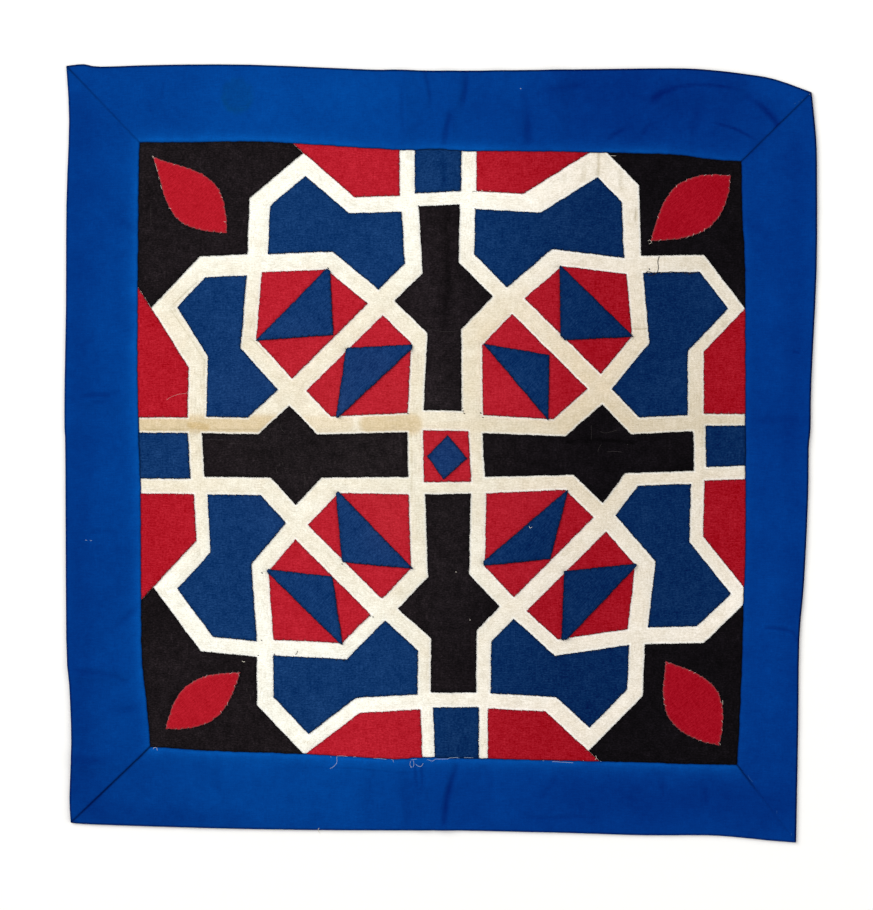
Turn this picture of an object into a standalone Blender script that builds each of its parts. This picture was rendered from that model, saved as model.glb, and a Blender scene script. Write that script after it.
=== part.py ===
"""A small hand-sewn strapwork quilt, lying flat on a surface, seen face up.

Coloured cotton patches are sewn on an off-white ground, so that the ground left bare between them
reads as interlaced straps. A royal blue border in four mitred strips goes round the panel.
Metres, +Z up. X runs across the cloth and Y along it. The origin is on the surface, under the
middle of the cloth. Sizes in the tables are millimetres from the middle of the pattern.
"""

import math

import bmesh
import bpy
from mathutils import Vector

MM = 0.001

# Thicknesses of the cloths, with their turned-under edges, and the gap between two pieces
GROUND_THICKNESS = 1.2 * MM
PATCH_THICKNESS = 0.9 * MM
TRIM_THICKNESS = 0.8 * MM
BORDER_THICKNESS = 2.4 * MM
GAP = 0.3 * MM

# How far a triangle's folded tips reach past the patch under it
TIP_REACH = 0.8 * MM

# How far a cutter's outline reaches up and down, and how close two points are to be one
CUTTER_REACH = 10 * MM
SAME_PLACE = 0.001 * MM

# The sine of the angle under which two sides of an outline count as one line
STRAIGHT_ON = 0.001

# Levels of the undersides, over cloth that lies flat
PATCH_LEVEL = GROUND_THICKNESS + GAP
TRIM_LEVEL = PATCH_LEVEL + PATCH_THICKNESS + GAP

# How far an outline that the border cuts off is drawn past the panel's edge, in mm
OVERRUN = 200.0
PEAK_OVERRUN = 60.0

# Strap crossings of one eighth of the true pattern: across from the arm's middle line, and outward
CROSSINGS = {
    "core": (17.0, 18.0),
    "waist": (15.7, 65.6),
    "bar": (36.2, 86.6),
    "shoulder": (16.0, 105.6),
    "fork": (62.2, 109.2),
    "cross": (105.0, 105.0),
    "ring": (16.2, 140.2),
    "bend": (53.0, 139.7),
    "peak": (81.5, 161.5),
    "step": (104.2, 140.0),
    "rim": (16.2, OVERRUN),
}

# How far the maker's crossings stray from the true pattern, as (x, y).
# One column for each eighth: its quarter, and v beside the upright arm or h beside the level arm.
DRIFT_COLUMNS = ("tl_v", "tr_v", "bl_v", "br_v", "tl_h", "tr_h", "bl_h", "br_h")
DRIFT = {
    "rim": ((-5, 0), (-3.5, 0), (6.5, 0), (4.5, 0), (0, 1), (0, 3.5), (0, 0), (0, 7)),
    "ring": ((-5, 2.5), (-4, 4), (4, 3), (4.5, 3), (0, 1), (0.5, 3.5), (2, -0.5), (1, 5)),
    "bend": ((-2, 2), (-3.5, 2.5), (5, 0.5), (6.5, 0.5), (0.5, 1.5), (1, 6.5), (3.5, 1), (0.5, 7)),
    "peak": ((2.5, 1), (3.5, 3), (3.5, -0.5), (-1.5, 3.5), (4, 2), (1.5, 1.5), (5, 7.5), (4, 4)),
    "step": ((-1, 0.5), (-0.5, 5.5), (3, 2.5), (1.5, 8), (4, 2), (4.5, 3), (5.5, 0.5), (2.5, 4.5)),
    "fork": ((-2, 0), (0.5, 2.5), (4.5, 0), (-0.5, 2), (-1, 0), (-0.5, 2), (4.5, 0), (2.5, 2)),
    "bar": ((-0.5, 0), (-1, 1.5), (1.5, 0.5), (1, 1.5), (-0.5, 0.5), (0, 1), (3, -1), (2, 2.5)),
    "shoulder": ((-3, -1.5), (-4.5, 6.5), (4, -1), (5, 4), (-3.5, 0.5), (-0.5, 2), (3.5, -1), (-1, 3.5)),
    "waist": ((0.5, 0), (-0.5, 1.5), (0.5, 0), (1, 2), (-2.5, 1.5), (-3, 0.5), (1.5, -1), (3.5, 1)),
}

# The same for the crossings on a quarter's diagonal
QUARTERS = ("tl", "tr", "bl", "br")
DIAGONAL_DRIFT = {
    "core": ((-0.5, 1.5), (-1.5, 1), (0, 0.5), (0.5, 1)),
    "cross": ((-1.5, 2.5), (0, 1.5), (3.5, -2), (2, 4.5)),
}

# Where the three sides of each octagon half's triangle would meet, before its tips are folded in
TRIANGLES = {
    "outer_tl": ((-65.3, 107.5), (-107.5, 64.7), (-63.5, 68)),
    "outer_tr": ((63, 108), (63.5, 65), (105, 67)),
    "outer_bl": ((-64, -67), (-103, -62.5), (-58, -106.5)),
    "outer_br": ((108, -59.5), (65.5, -64), (64, -106)),
    "inner_tl": ((-62.5, 20), (-16.5, 63), (-56.5, 61)),
    "inner_tr": ((57.5, 57), (20, 63.5), (57, 20)),
    "inner_bl": ((-62.6, -17.3), (-58.8, -59.2), (-18.5, -63)),
    "inner_br": ((68.5, -17.5), (17, -61.5), (58, -57.5)),
}

# Width of the bare strap along each stretch between two crossings, in mm
STRAP_WIDTHS = {
    "rim-ring": 8.4,
    "ring-ring": 8.2,
    "bend-ring": 8.4,
    "ring-shoulder": 8.6,
    "core-core": 8.2,
    "core-waist": 9.2,
    "cross-step": 9.2,
    "cross-fork": 9.2,
    "bend-peak": 9.8,
    "peak-step": 9.6,
    "bar-fork": 9.8,
    "bar-shoulder": 10.2,
    "bar-waist": 11.2,
    "bar-bar": 10.4,
}

# Stretches that the maker left wider or narrower, by place
ODD_WIDTHS = {
    "cross-step tl_v": 12.0,
    "cross-fork tl_v": 11.4,
    "bend-peak tl_h": 11.8,
    "bar-waist tl_h": 12.8,
    "bend-peak tr_v": 14.5,
    "peak-step tr_v": 12.8,
    "bar-waist tr_v": 14.0,
    "core-waist tr_v": 11.2,
    "bend-peak tr_h": 7.5,
    "peak-step tr_h": 7.5,
    "cross-step tr_h": 11.0,
    "bar-fork bl_v": 8.0,
    "ring-shoulder bl_v": 7.2,
    "bar-waist bl_h": 12.6,
    "bar-waist br_h": 9.2,
    "cross-fork br_h": 11.0,
}

# How far a patch's side lies outside the strap's edge there, where the maker's hand strayed, in mm:
# by kind of patch and stretch of strap, with a column for each eighth as above.
# A side across two eighths stands under the one that it starts in.
OUTSETS = {
    "kite bend-ring": (-1, -1, 0, -0.5, -1, -1.5, 0.5, 0),
    "kite bend-peak": (1, 1, 0, 0.5, 0.5, 0, 1, 0.5),
    "kite peak-step": (1, 0.5, 0, 0.5, 0.5, -0.5, 0.5, 0),
    "kite cross-step": (0, -1, 0.5, 0, -1, 2, 1.5, 0),
    "kite cross-fork": (0, 0.5, 0.5, 0.5, -0.5, 0, 0, 0.5),
    "kite bar-fork": (0.5, -1, 0, 1, 0, 1, 0, 0),
    "kite bar-shoulder": (-1, 1.5, 1, 1, -0.5, 0.5, 0.5, 1),
    "kite ring-shoulder": (0, 0.5, -0.5, 0.5, -1, 0.5, 0, 0.5),
    "arm ring-shoulder": (-1, -0.5, 0.5, 0, 0.5, -1, -1, 1),
    "arm bar-shoulder": (0.5, -0.5, -0.5, -1, 0, 0, -1, -0.5),
    "arm bar-waist": (0, -1, 1, 1, 0, -0.5, -1.5, 0),
    "arm core-waist": (0.5, -1.5, 0, 0.5, 0, 0, -0.5, 0),
    "arm core-core": (-2.5, 0, 0.5, 0, 0.5, 1, 0, 0),
    "arm ring-ring": (0, 1.5, 0, -1, 0, 0, 1.5, 1.5),
    "centre_square core-core": (0, -0.5, 1, 0.5, 0, 0, 0, 0),
    "edge_square rim-ring": (1, 0, 0, 1.5, 0.5, 2, 0, -1),
    "edge_square ring-ring": (0, -0.5, 0, 1, 0, 0, -1, 0),
    "edge_red rim-ring": (-1, 0, 1.5, 2, -0.5, 0, 0, 2),
    "edge_red bend-ring": (0.5, -0.5, 0, 0.5, -1, 1, 0.5, 1),
    "edge_red bend-past_peak": (0, -0.5, 2, -0.5, -1, 1, -1.5, 1.5),
    "corner peak-step": (-2, -1, 0, 0.5, -1, 0.5, -1, 0.5),
    "corner cross-step": (0.5, 0.5, -0.5, 0.5, -1.5, -0.5, -1, 0),
    "octagon_outer cross-fork": (1.5, 0, 0, 0, 1.5, 0, 0, -0.5),
    "octagon_outer bar-fork": (-0.5, 0, 0, 1, 0, -1, 0, 0),
    "octagon_outer bar-bar": (0.5, -1, -2, -1, 0, 0, 0, 0),
    "octagon_inner core-waist": (0, 1, 0, 0, -0.5, 0, 1, 1),
    "octagon_inner bar-waist": (1, 0.5, 0, 1, 0.5, 0, 1.5, 0),
    "octagon_inner bar-bar": (-0.5, 0.5, 2, 1, 0, 0, 0, 0),
}
PATCH_KINDS = ("kite", "arm", "centre_square", "edge_square", "edge_red", "corner", "octagon_outer",
               "octagon_inner")

# Leaves on the corner patches: tip by the border, tip by the pattern, half width, and lean,
# which is over 1 where the belly lies nearer to the pattern
LEAF_COLUMNS = ("outer_tip", "inner_tip", "belly", "lean")
LEAVES = {
    "tl": ((-165, 168.5), (-123, 125), 14.6, 1.25),
    "tr": ((159, 157.5), (114, 120.5), 15.0, 0.9),
    "bl": ((-157.5, -152.5), (-115.5, -120.5), 12.3, 0.95),
    "br": ((152.5, -162), (122.5, -114.5), 15.7, 0.95),
}
LEAF_STEPS = 9

# The diamond on the centre square: its right, upper, left and lower tips
DIAMOND_TIPS = ((11.6, -1.0), (0.5, 12.2), (-11.2, 0.2), (-1.9, -13.0))

# Edges of the panel and of the whole cloth, a row for each side, clockwise from the upper left corner
PANEL_EDGE = {
    "top": ((-172, 176), (-148, 176), (-110, 176.5), (-83, 175.2), (-47.5, 173), (-25.5, 171.8),
            (-4.5, 172.2), (8.5, 171.2), (48, 171), (76, 170.6), (125, 169.2), (145.5, 166.7)),
    "right": ((165, 165.4), (165.5, 133.5), (167, 104.5), (167.3, 15), (167.3, -48), (166.3, -80),
              (164.5, -136)),
    "bottom": ((162.5, -172.5), (130.5, -172), (111, -171.2), (55.5, -170), (-12, -168.4), (-28.5, -169.4),
               (-79.5, -166.5), (-125, -165)),
    "left": ((-166, -162.5), (-167.5, -144), (-169.5, -124.5), (-171, -102.5), (-171.5, -20), (-172.6, 13),
             (-173.2, 58.5), (-172.6, 149.5)),
}
OUTER_EDGE = {
    "top": ((-213.3, 219), (-203.5, 220), (-194, 218.6), (-160.5, 219.6), (-110, 219.7), (-43.5, 217),
            (-30, 217), (2, 216.3), (84, 217.2), (125, 217.7), (145, 217), (168, 214.4), (184.5, 211.4)),
    "right": ((204.5, 204.2), (207, 179), (207.5, 157), (207.3, 104.5), (204.4, 43), (203.9, 16),
              (202.9, 5), (202.5, -24), (200.2, -71.5), (197.6, -102.5), (197, -152)),
    "bottom": ((195.8, -216.3), (181.5, -215.2), (166, -213.6), (146, -212.2), (111, -212.2), (72, -211),
               (43, -210.3), (4.5, -209.5), (-30, -209.5), (-79.5, -209.2), (-133, -208.2), (-196, -206.2)),
    "left": ((-210.8, -205.2), (-211.5, -191), (-210.5, -160), (-211.6, -128.5), (-213.3, -102.5),
             (-213.8, 0), (-214.3, 17), (-214.2, 43), (-213.5, 82), (-213.2, 141.5), (-211.7, 188.5)),
}
SIDES = ("top", "right", "bottom", "left")
EDGE_STEPS = 3

# Soft ridges where the cloth was folded or stands off the surface:
# ends of the crest, half width, and height
RIDGE_COLUMNS = ("start", "end", "half_width", "height")
RIDGES = {
    "centre_fold": ((1.5, 222), (-1.5, -212), 9, 1.1),
    "level_fold": ((-150, 18), (-24, 17), 9, 0.7),
    "top_left_swell": ((-24, 176), (-24, 214), 9, 0.9),
    "top_middle_swell": ((30, 178), (29, 214), 10, 0.8),
    "top_right_swell": ((60, 178), (62, 214), 11, 0.9),
    "top_right_puff": ((118, 202), (160, 206), 10, 1.4),
    "corner_puff": ((150, 187), (172, 178), 8, 1.0),
    "corner_tip_puff": ((174, 198), (188, 186), 8, 1.2),
    "left_blister": ((-203, 33), (-184, 31), 9, 1.0),
    "left_low_swell": ((-207, -120), (-181, -119), 10, 0.9),
    "left_corner_swell": ((-208, -170), (-184, -169), 9, 0.9),
    "right_swell": ((182, -80), (184, -108), 9, 0.9),
    "bottom_swell": ((-14, -178), (-13, -206), 8, 0.8),
}

# Stations of the lattice that the relief is read at, in mm: closer together by the two long folds
LATTICE_PITCH = 12.0
LATTICE_REACH = 234.0
CLOSE_STATIONS = {"x": (-10.3, -4.8, 0.2, 5.2, 10.7), "y": (8.3, 13.0, 17.6, 22.4, 26.9)}
CLEARANCE = 5.0

# Colour, roughness of each cloth
CLOTHS = {
    "off_white": ((0.84, 0.79, 0.66), 0.9),
    "royal_blue": ((0.002, 0.045, 0.25), 0.85),
    "navy": ((0.006, 0.03, 0.12), 0.85),
    "red": ((0.42, 0.012, 0.022), 0.85),
    "black": ((0.009, 0.007, 0.009), 0.9),
}


def clear_scene():
    """Remove every object, so that a rerun starts empty."""
    for item in list(bpy.data.objects):
        bpy.data.objects.remove(item, do_unlink=True)


def new_collection(name):
    """A collection in the scene, for the pieces or for what cuts them."""
    collection = bpy.data.collections.new(name)
    bpy.context.scene.collection.children.link(collection)
    return collection


def cloth_material(name):
    """A plain material in the colour of one cloth."""
    colour, roughness = CLOTHS[name]
    material = bpy.data.materials.new(name)
    material.use_nodes = True
    shader = material.node_tree.nodes["Principled BSDF"]
    shader.inputs["Base Color"].default_value = (*colour, 1.0)
    shader.inputs["Roughness"].default_value = roughness
    shader.inputs["Metallic"].default_value = 0.0
    material.diffuse_color = (*colour, 1.0)
    return material


def smooth_edge(sides, steps):
    """The points of a closed edge: each side is a smooth curve, and the four corners stay sharp."""
    outline = {}
    for index, side in enumerate(SIDES):
        next_side = SIDES[(index + 1) % len(SIDES)]
        stations = [Vector(p) for p in sides[side]] + [Vector(sides[next_side][0])]
        before = [stations[0]] + stations[:-2]
        after = stations[2:] + [stations[-1]]
        points = []
        for a, b, c, d in zip(before, stations[:-1], stations[1:], after):
            for step in range(steps):
                t = step / steps
                points.append(catmull_rom(a, b, c, d, t) * MM)
        outline[side] = points
    return outline


def catmull_rom(a, b, c, d, t):
    """A point between b and c on the smooth curve through four points."""
    return 0.5 * (2 * b + (c - a) * t + (2 * a - 5 * b + 4 * c - d) * t * t
                  + (3 * b - a - 3 * c + d) * t ** 3)


def crossing(name, quarter, arm="v"):
    """The place of one strap crossing, in metres from the middle of the pattern."""
    if name == "past_peak":
        return past_peak(quarter, arm)
    if name == "far":
        return Vector((past_peak(quarter, "h").x, past_peak(quarter, "v").y))
    across, outward = CROSSINGS[name]
    if name in DIAGONAL_DRIFT:
        drift = DIAGONAL_DRIFT[name][QUARTERS.index(quarter)]
    else:
        drift = DRIFT[name][DRIFT_COLUMNS.index(quarter + "_" + arm)]
    x, y = (across, outward) if arm == "v" else (outward, across)
    x = -x if "l" in quarter else x
    y = -y if "b" in quarter else y
    return Vector((x + drift[0], y + drift[1])) * MM


def signed_area(points):
    """Twice the area inside an outline, positive where it runs anticlockwise."""
    return sum(a.cross(b) for a, b in zip(points, points[1:] + points[:1]))


def inset(points, distances):
    """Move each side of an outline inwards by its own distance, and meet the sides again."""
    turn = 1.0 if signed_area(points) > 0 else -1.0
    ends = points[1:] + points[:1]
    lines = []
    for start, end, distance in zip(points, ends, distances):
        along = (end - start).normalized()
        shift = Vector((-along.y, along.x)) * turn * distance
        lines.append((start + shift, end + shift, along))
    moved = []
    for index, line in enumerate(lines):
        previous = lines[index - 1]
        if abs(previous[2].cross(line[2])) < STRAIGHT_ON:
            moved.append(line[0])
        else:
            moved.append(meet(previous, line))
    return moved


def meet(first, second):
    """The point where two endless lines cross."""
    offset = second[0] - first[0]
    t = offset.cross(second[2]) / first[2].cross(second[2])
    return first[0] + first[2] * t


def relief(x, y):
    """How far the cloth's underside stands off the surface at a place, from the soft ridges."""
    height = 0.0
    place = Vector((x, y)) / MM
    for row in RIDGES.values():
        ridge = dict(zip(RIDGE_COLUMNS, row))
        start, half_width = Vector(ridge["start"]), ridge["half_width"]
        along = Vector(ridge["end"]) - start
        share = min(max((place - start).dot(along) / along.length_squared, 0.0), 1.0)
        distance = (place - start - along * share).length
        if distance < half_width:
            swell = 0.5 + 0.5 * math.cos(math.pi * distance / half_width)
            height = max(height, ridge["height"] * swell)
    return height * MM


def lattice_stations(axis):
    """The lattice lines along one axis: even, but for the close ones by the long fold."""
    close = CLOSE_STATIONS[axis]
    count = int(2 * LATTICE_REACH / LATTICE_PITCH)
    even = [-LATTICE_REACH + LATTICE_PITCH * index for index in range(count + 1)]
    kept = [s for s in even if all(abs(s - c) > CLEARANCE for c in close)]
    return [s * MM for s in sorted(kept + list(close))]


def stations_round(stations, low, high):
    """The lattice lines from the one before low to the one after high."""
    first = max(i for i, s in enumerate(stations) if s < low)
    last = min(i for i, s in enumerate(stations) if s > high)
    return stations[first:last + 1]


def cloth_slab(name, outline, level, thickness, collection):
    """A slab of cloth on the relief, over the lattice cells round an outline."""
    xs = stations_round(lattice_stations("x"), min(p.x for p in outline), max(p.x for p in outline))
    ys = stations_round(lattice_stations("y"), min(p.y for p in outline), max(p.y for p in outline))
    mesh = bpy.data.meshes.new(name)
    bm = bmesh.new()
    bmesh.ops.create_grid(bm, x_segments=len(xs) - 1, y_segments=len(ys) - 1, size=1.0)
    for vert in bm.verts:
        x = xs[round((vert.co.x + 1.0) / 2.0 * (len(xs) - 1))]
        y = ys[round((vert.co.y + 1.0) / 2.0 * (len(ys) - 1))]
        vert.co = (x, y, level + relief(x, y))
    bmesh.ops.triangulate(bm, faces=bm.faces, quad_method="FIXED")
    raised = bmesh.ops.extrude_face_region(bm, geom=bm.faces[:])["geom"]
    raised_verts = [item for item in raised if isinstance(item, bmesh.types.BMVert)]
    bmesh.ops.translate(bm, verts=raised_verts, vec=(0.0, 0.0, thickness))
    bmesh.ops.recalc_face_normals(bm, faces=bm.faces)
    bm.to_mesh(mesh)
    bm.free()
    slab = bpy.data.objects.new(name, mesh)
    collection.objects.link(slab)
    return slab


def outline_prism(name, outline, collection):
    """An upright block on a flat outline, tall enough to cut any cloth out of its slab."""
    curve = bpy.data.curves.new(name, "CURVE")
    curve.dimensions = "2D"
    curve.fill_mode = "BOTH"
    curve.extrude = CUTTER_REACH
    spline = curve.splines.new("POLY")
    spline.points.add(len(outline) - 1)
    for point, place in zip(spline.points, outline):
        point.co = (place.x, place.y, 0.0, 1.0)
    spline.use_cyclic_u = True
    shape = bpy.data.objects.new(name + "_outline", curve)
    collection.objects.link(shape)
    mesh = evaluated_mesh(shape)
    bpy.data.objects.remove(shape, do_unlink=True)
    bm = bmesh.new()
    bm.from_mesh(mesh)
    bmesh.ops.remove_doubles(bm, verts=bm.verts, dist=SAME_PLACE)
    bmesh.ops.recalc_face_normals(bm, faces=bm.faces)
    bm.to_mesh(mesh)
    bm.free()
    prism = bpy.data.objects.new(name + "_cutter", mesh)
    collection.objects.link(prism)
    return prism


def evaluated_mesh(item):
    """A mesh of an object as the viewport shows it."""
    depsgraph = bpy.context.evaluated_depsgraph_get()
    return bpy.data.meshes.new_from_object(item.evaluated_get(depsgraph))


def keep_inside(item, cutter):
    """Cut away what lies outside a cutter."""
    modifier = item.modifiers.new("outline", "BOOLEAN")
    modifier.operation = "INTERSECT"
    modifier.solver = "EXACT"
    modifier.object = cutter
    mesh = evaluated_mesh(item)
    item.modifiers.clear()
    item.data = mesh


class Quilt:
    """The pieces of the quilt as they are cut and laid, with what they share."""

    def __init__(self):
        self.pieces = new_collection("mini_quilt")
        self.cutters = new_collection("cutters")
        self.materials = {name: cloth_material(name) for name in CLOTHS}
        self.panel_sides = smooth_edge(PANEL_EDGE, EDGE_STEPS)
        self.outer_sides = smooth_edge(OUTER_EDGE, EDGE_STEPS)
        outer = [point for side in SIDES for point in self.outer_sides[side]]
        self.middle = Vector(((min(p.x for p in outer) + max(p.x for p in outer)) / 2,
                              (min(p.y for p in outer) + max(p.y for p in outer)) / 2))
        panel = [point for side in SIDES for point in self.panel_sides[side]]
        self.panel = inset(panel, [GAP / 2] * len(panel))
        self.panel_prism = outline_prism("panel", self.panel, self.cutters)

    def sheet(self, name, outline, cloth, level, thickness, cutters=()):
        """One piece of cloth of an outline, lying on the relief at its level, cut off by any cutters."""
        piece = cloth_slab(name, outline, level, thickness, self.pieces)
        prism = outline_prism(name, outline, self.cutters)
        keep_inside(piece, prism)
        bpy.data.objects.remove(prism, do_unlink=True)
        for cutter in cutters:
            keep_inside(piece, cutter)
        piece.data.name = name
        piece.data.materials.clear()
        piece.data.materials.append(self.materials[cloth])
        piece.location = (-self.middle.x, -self.middle.y, 0.0)
        return piece

    def patch(self, name, corners, cloth, trim_to_panel=False):
        """A patch between straps: its outline is the strap crossings round it, less half a strap.

        Each corner is a crossing's name, quarter and arm.
        """
        kind = next(kind for kind in PATCH_KINDS if name.startswith(kind))
        following = corners[1:] + corners[:1]
        setbacks = [side_setback(kind, a, b) for a, b in zip(corners, following)]
        outline = inset([crossing(*corner) for corner in corners], setbacks)
        cutters = [self.panel_prism] if trim_to_panel else []
        self.sheet(name, outline, cloth, PATCH_LEVEL, PATCH_THICKNESS, cutters)
        return outline

    def ground(self):
        """The off-white ground panel, whose bare stretches are the straps."""
        self.sheet("ground_panel", self.panel, "off_white", 0.0, GROUND_THICKNESS)

    def borders(self):
        """Four blue strips round the panel, mitred where they meet."""
        for index, side in enumerate(SIDES):
            following = SIDES[(index + 1) % len(SIDES)]
            outer = self.outer_sides[side] + [self.outer_sides[following][0]]
            inner = self.panel_sides[side] + [self.panel_sides[following][0]]
            places = outer + inner[::-1]
            distances = [0.0] * (len(outer) - 1) + [GAP / 2] * (len(inner) + 1)
            outline = inset(places, distances)
            self.sheet("border_" + side, outline, "royal_blue", 0.0, BORDER_THICKNESS)

    def arms(self):
        """The black cross arms, the navy squares at their ends, and the red centre with its diamond."""
        pairs = {"top": ("tl", "tr", "v"), "bottom": ("bl", "br", "v"),
                 "left": ("tl", "bl", "h"), "right": ("tr", "br", "h")}
        names = ("ring", "shoulder", "bar", "waist", "core")
        for side, (first, second, arm) in pairs.items():
            down = [(name, first, arm) for name in names]
            up = [(name, second, arm) for name in reversed(names)]
            self.patch("arm_" + side, down + up, "black")
            ends = [("ring", first, arm), ("rim", first, arm), ("rim", second, arm), ("ring", second, arm)]
            self.patch("edge_square_" + side, ends, "navy", True)
        self.patch("centre_square", [("core", quarter, "v") for quarter in ("tl", "bl", "br", "tr")], "red")
        diamond = [Vector(tip) * MM for tip in DIAMOND_TIPS]
        self.sheet("centre_diamond", diamond, "navy", TRIM_LEVEL, TRIM_THICKNESS)

    def octagons(self, quarter):
        """One quarter's red octagon, in two halves on either side of its bar, with navy triangles."""
        halves = {"outer": ("cross", "fork"), "inner": ("core", "waist")}
        for half, (tip, side) in halves.items():
            corners = [(tip, quarter, "v"), (side, quarter, "v"), ("bar", quarter, "v"),
                       ("bar", quarter, "h"), (side, quarter, "h")]
            outline = self.patch("octagon_" + half + "_" + quarter, corners, "red")
            reach = outline_prism("tips", inset(outline, [-TIP_REACH] * len(outline)), self.cutters)
            tips = [Vector(tip) * MM for tip in TRIANGLES[half + "_" + quarter]]
            name = "triangle_" + half + "_" + quarter
            self.sheet(name, tips, "navy", TRIM_LEVEL, TRIM_THICKNESS, [reach])
            bpy.data.objects.remove(reach, do_unlink=True)

    def kites(self, quarter, arm):
        """The navy kite beside an arm, and the red patch between it and the border."""
        names = ("ring", "bend", "peak", "step", "cross", "fork", "bar", "shoulder")
        self.patch("kite_" + quarter + "_" + arm, [(name, quarter, arm) for name in names], "navy")
        corners = [(name, quarter, arm) for name in ("rim", "ring", "bend", "past_peak")]
        self.patch("edge_red_" + quarter + "_" + arm, corners, "red", True)

    def corner(self, quarter):
        """The black corner patch, stepped beside the straps, and the red leaf on it."""
        climb = [(name, quarter, "v") for name in ("past_peak", "peak", "step", "cross")]
        fall = [(name, quarter, "h") for name in ("step", "peak", "past_peak", "far")]
        self.patch("corner_" + quarter, climb + fall, "black", True)
        self.sheet("leaf_" + quarter, leaf_outline(quarter), "red", TRIM_LEVEL, TRIM_THICKNESS)


def past_peak(quarter, arm):
    """A point past the panel's edge, in line with the strap that climbs to the peak."""
    bend, peak = crossing("bend", quarter, arm), crossing("peak", quarter, arm)
    return peak + (peak - bend).normalized() * PEAK_OVERRUN * MM


def stretch_place(first, second):
    """The stretch between two crossings, each given as its name, quarter and arm, and its eighth."""
    arms = [corner[2] for corner in (first, second) if corner[0] not in DIAGONAL_DRIFT]
    return "-".join(sorted((first[0], second[0]))), first[1] + "_" + (arms[0] if arms else first[2])


def strap_width(first, second):
    """The width of the strap between two crossings."""
    stretch, place = stretch_place(first, second)
    return ODD_WIDTHS.get(stretch + " " + place, STRAP_WIDTHS.get(stretch)) * MM


def outset(kind, first, second):
    """How far a side of a kind of patch lies outside the strap's edge."""
    stretch, place = stretch_place(first, second)
    row = OUTSETS.get(kind + " " + stretch)
    return row[DRIFT_COLUMNS.index(place)] * MM if row else 0.0


def side_setback(kind, first, second):
    """How far a patch's side lies inside the line between two crossings.

    A side that the border cuts off has none. Past a peak the red patch keeps its line and the
    black one meets it there, so the black one's side lies outside the line.
    """
    names = {first[0], second[0]}
    if "far" in names or names in ({"rim"}, {"rim", "past_peak"}):
        return 0.0
    if "past_peak" in names:
        place = first if first[0] == "past_peak" else second
        bend, peak = ("bend",) + place[1:], ("peak",) + place[1:]
        red_setback = strap_width(bend, peak) / 2 - outset("edge_red", bend, place)
        return red_setback if kind == "edge_red" else GAP - red_setback
    return strap_width(first, second) / 2 - outset(kind, first, second)


def leaf_outline(quarter):
    """A leaf of two like sides between its tips, widest at its belly."""
    leaf = dict(zip(LEAF_COLUMNS, LEAVES[quarter]))
    outer_tip, inner_tip = Vector(leaf["outer_tip"]), Vector(leaf["inner_tip"])
    along = inner_tip - outer_tip
    aside = Vector((-along.y, along.x)).normalized()
    shares = [step / LEAF_STEPS for step in range(1, LEAF_STEPS)]
    widths = [leaf["belly"] * math.sin(math.pi * share ** leaf["lean"]) for share in shares]
    left = [outer_tip + along * share + aside * width for share, width in zip(shares, widths)]
    right = [outer_tip + along * share - aside * width for share, width in zip(shares, widths)]
    return [place * MM for place in [outer_tip] + left + [inner_tip] + right[::-1]]


def build():
    """Cut and lay every piece, under one empty at the cloth's middle."""
    clear_scene()
    quilt = Quilt()
    quilt.ground()
    quilt.borders()
    quilt.arms()
    for quarter in QUARTERS:
        quilt.octagons(quarter)
        quilt.kites(quarter, "v")
        quilt.kites(quarter, "h")
        quilt.corner(quarter)
    bpy.data.objects.remove(quilt.panel_prism, do_unlink=True)
    bpy.data.collections.remove(quilt.cutters)
    root = bpy.data.objects.new("mini_quilt_root", None)
    quilt.pieces.objects.link(root)
    for piece in list(quilt.pieces.objects):
        if piece is not root:
            piece.parent = root
    return quilt


build()
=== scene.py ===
"""The looks of a small hand-sewn strapwork quilt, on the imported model's frame.

Each node of the model is a piece of cloth, and each gets a finer piece here that stands for it: its
outline is read from the node, its edge is turned under and pulled in by whip stitches, and its face
follows the quilt's folds and creases. Places and heights are in millimetres, and only the meshes are in
metres. A place that was found on the photograph is given in its pixels and passes through on_photo.
"""

import math
import random

import bpy
import numpy as np
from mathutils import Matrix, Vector, geometry, kdtree
from mathutils.bvhtree import BVHTree


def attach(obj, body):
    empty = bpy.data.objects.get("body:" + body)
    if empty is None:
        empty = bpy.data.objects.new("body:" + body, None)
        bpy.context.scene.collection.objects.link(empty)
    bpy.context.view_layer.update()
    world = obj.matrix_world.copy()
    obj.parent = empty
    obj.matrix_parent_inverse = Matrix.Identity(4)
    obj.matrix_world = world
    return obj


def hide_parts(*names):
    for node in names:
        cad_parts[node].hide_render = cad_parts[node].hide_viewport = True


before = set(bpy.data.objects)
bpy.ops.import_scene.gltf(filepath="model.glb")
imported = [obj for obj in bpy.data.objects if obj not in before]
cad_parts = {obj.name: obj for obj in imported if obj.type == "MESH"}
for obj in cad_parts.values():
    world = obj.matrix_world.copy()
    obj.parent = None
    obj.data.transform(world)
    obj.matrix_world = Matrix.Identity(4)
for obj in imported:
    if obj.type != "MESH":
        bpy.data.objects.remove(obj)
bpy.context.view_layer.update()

MM = 0.001
PIECE_PREFIX = "cloth_"

# The photograph's frame in pixels, the millimetres to a pixel, and the pixel of the pattern's middle
PHOTO_SIZE = (873, 910)
PIXEL = 0.56
PATTERN_PIXEL = (446.8, 456.7)

# The pattern's middle from the middle of the cloth, in mm
PATTERN_MIDDLE = np.array((3.37, -1.86))

SIDES = ("top", "right", "bottom", "left")

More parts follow.
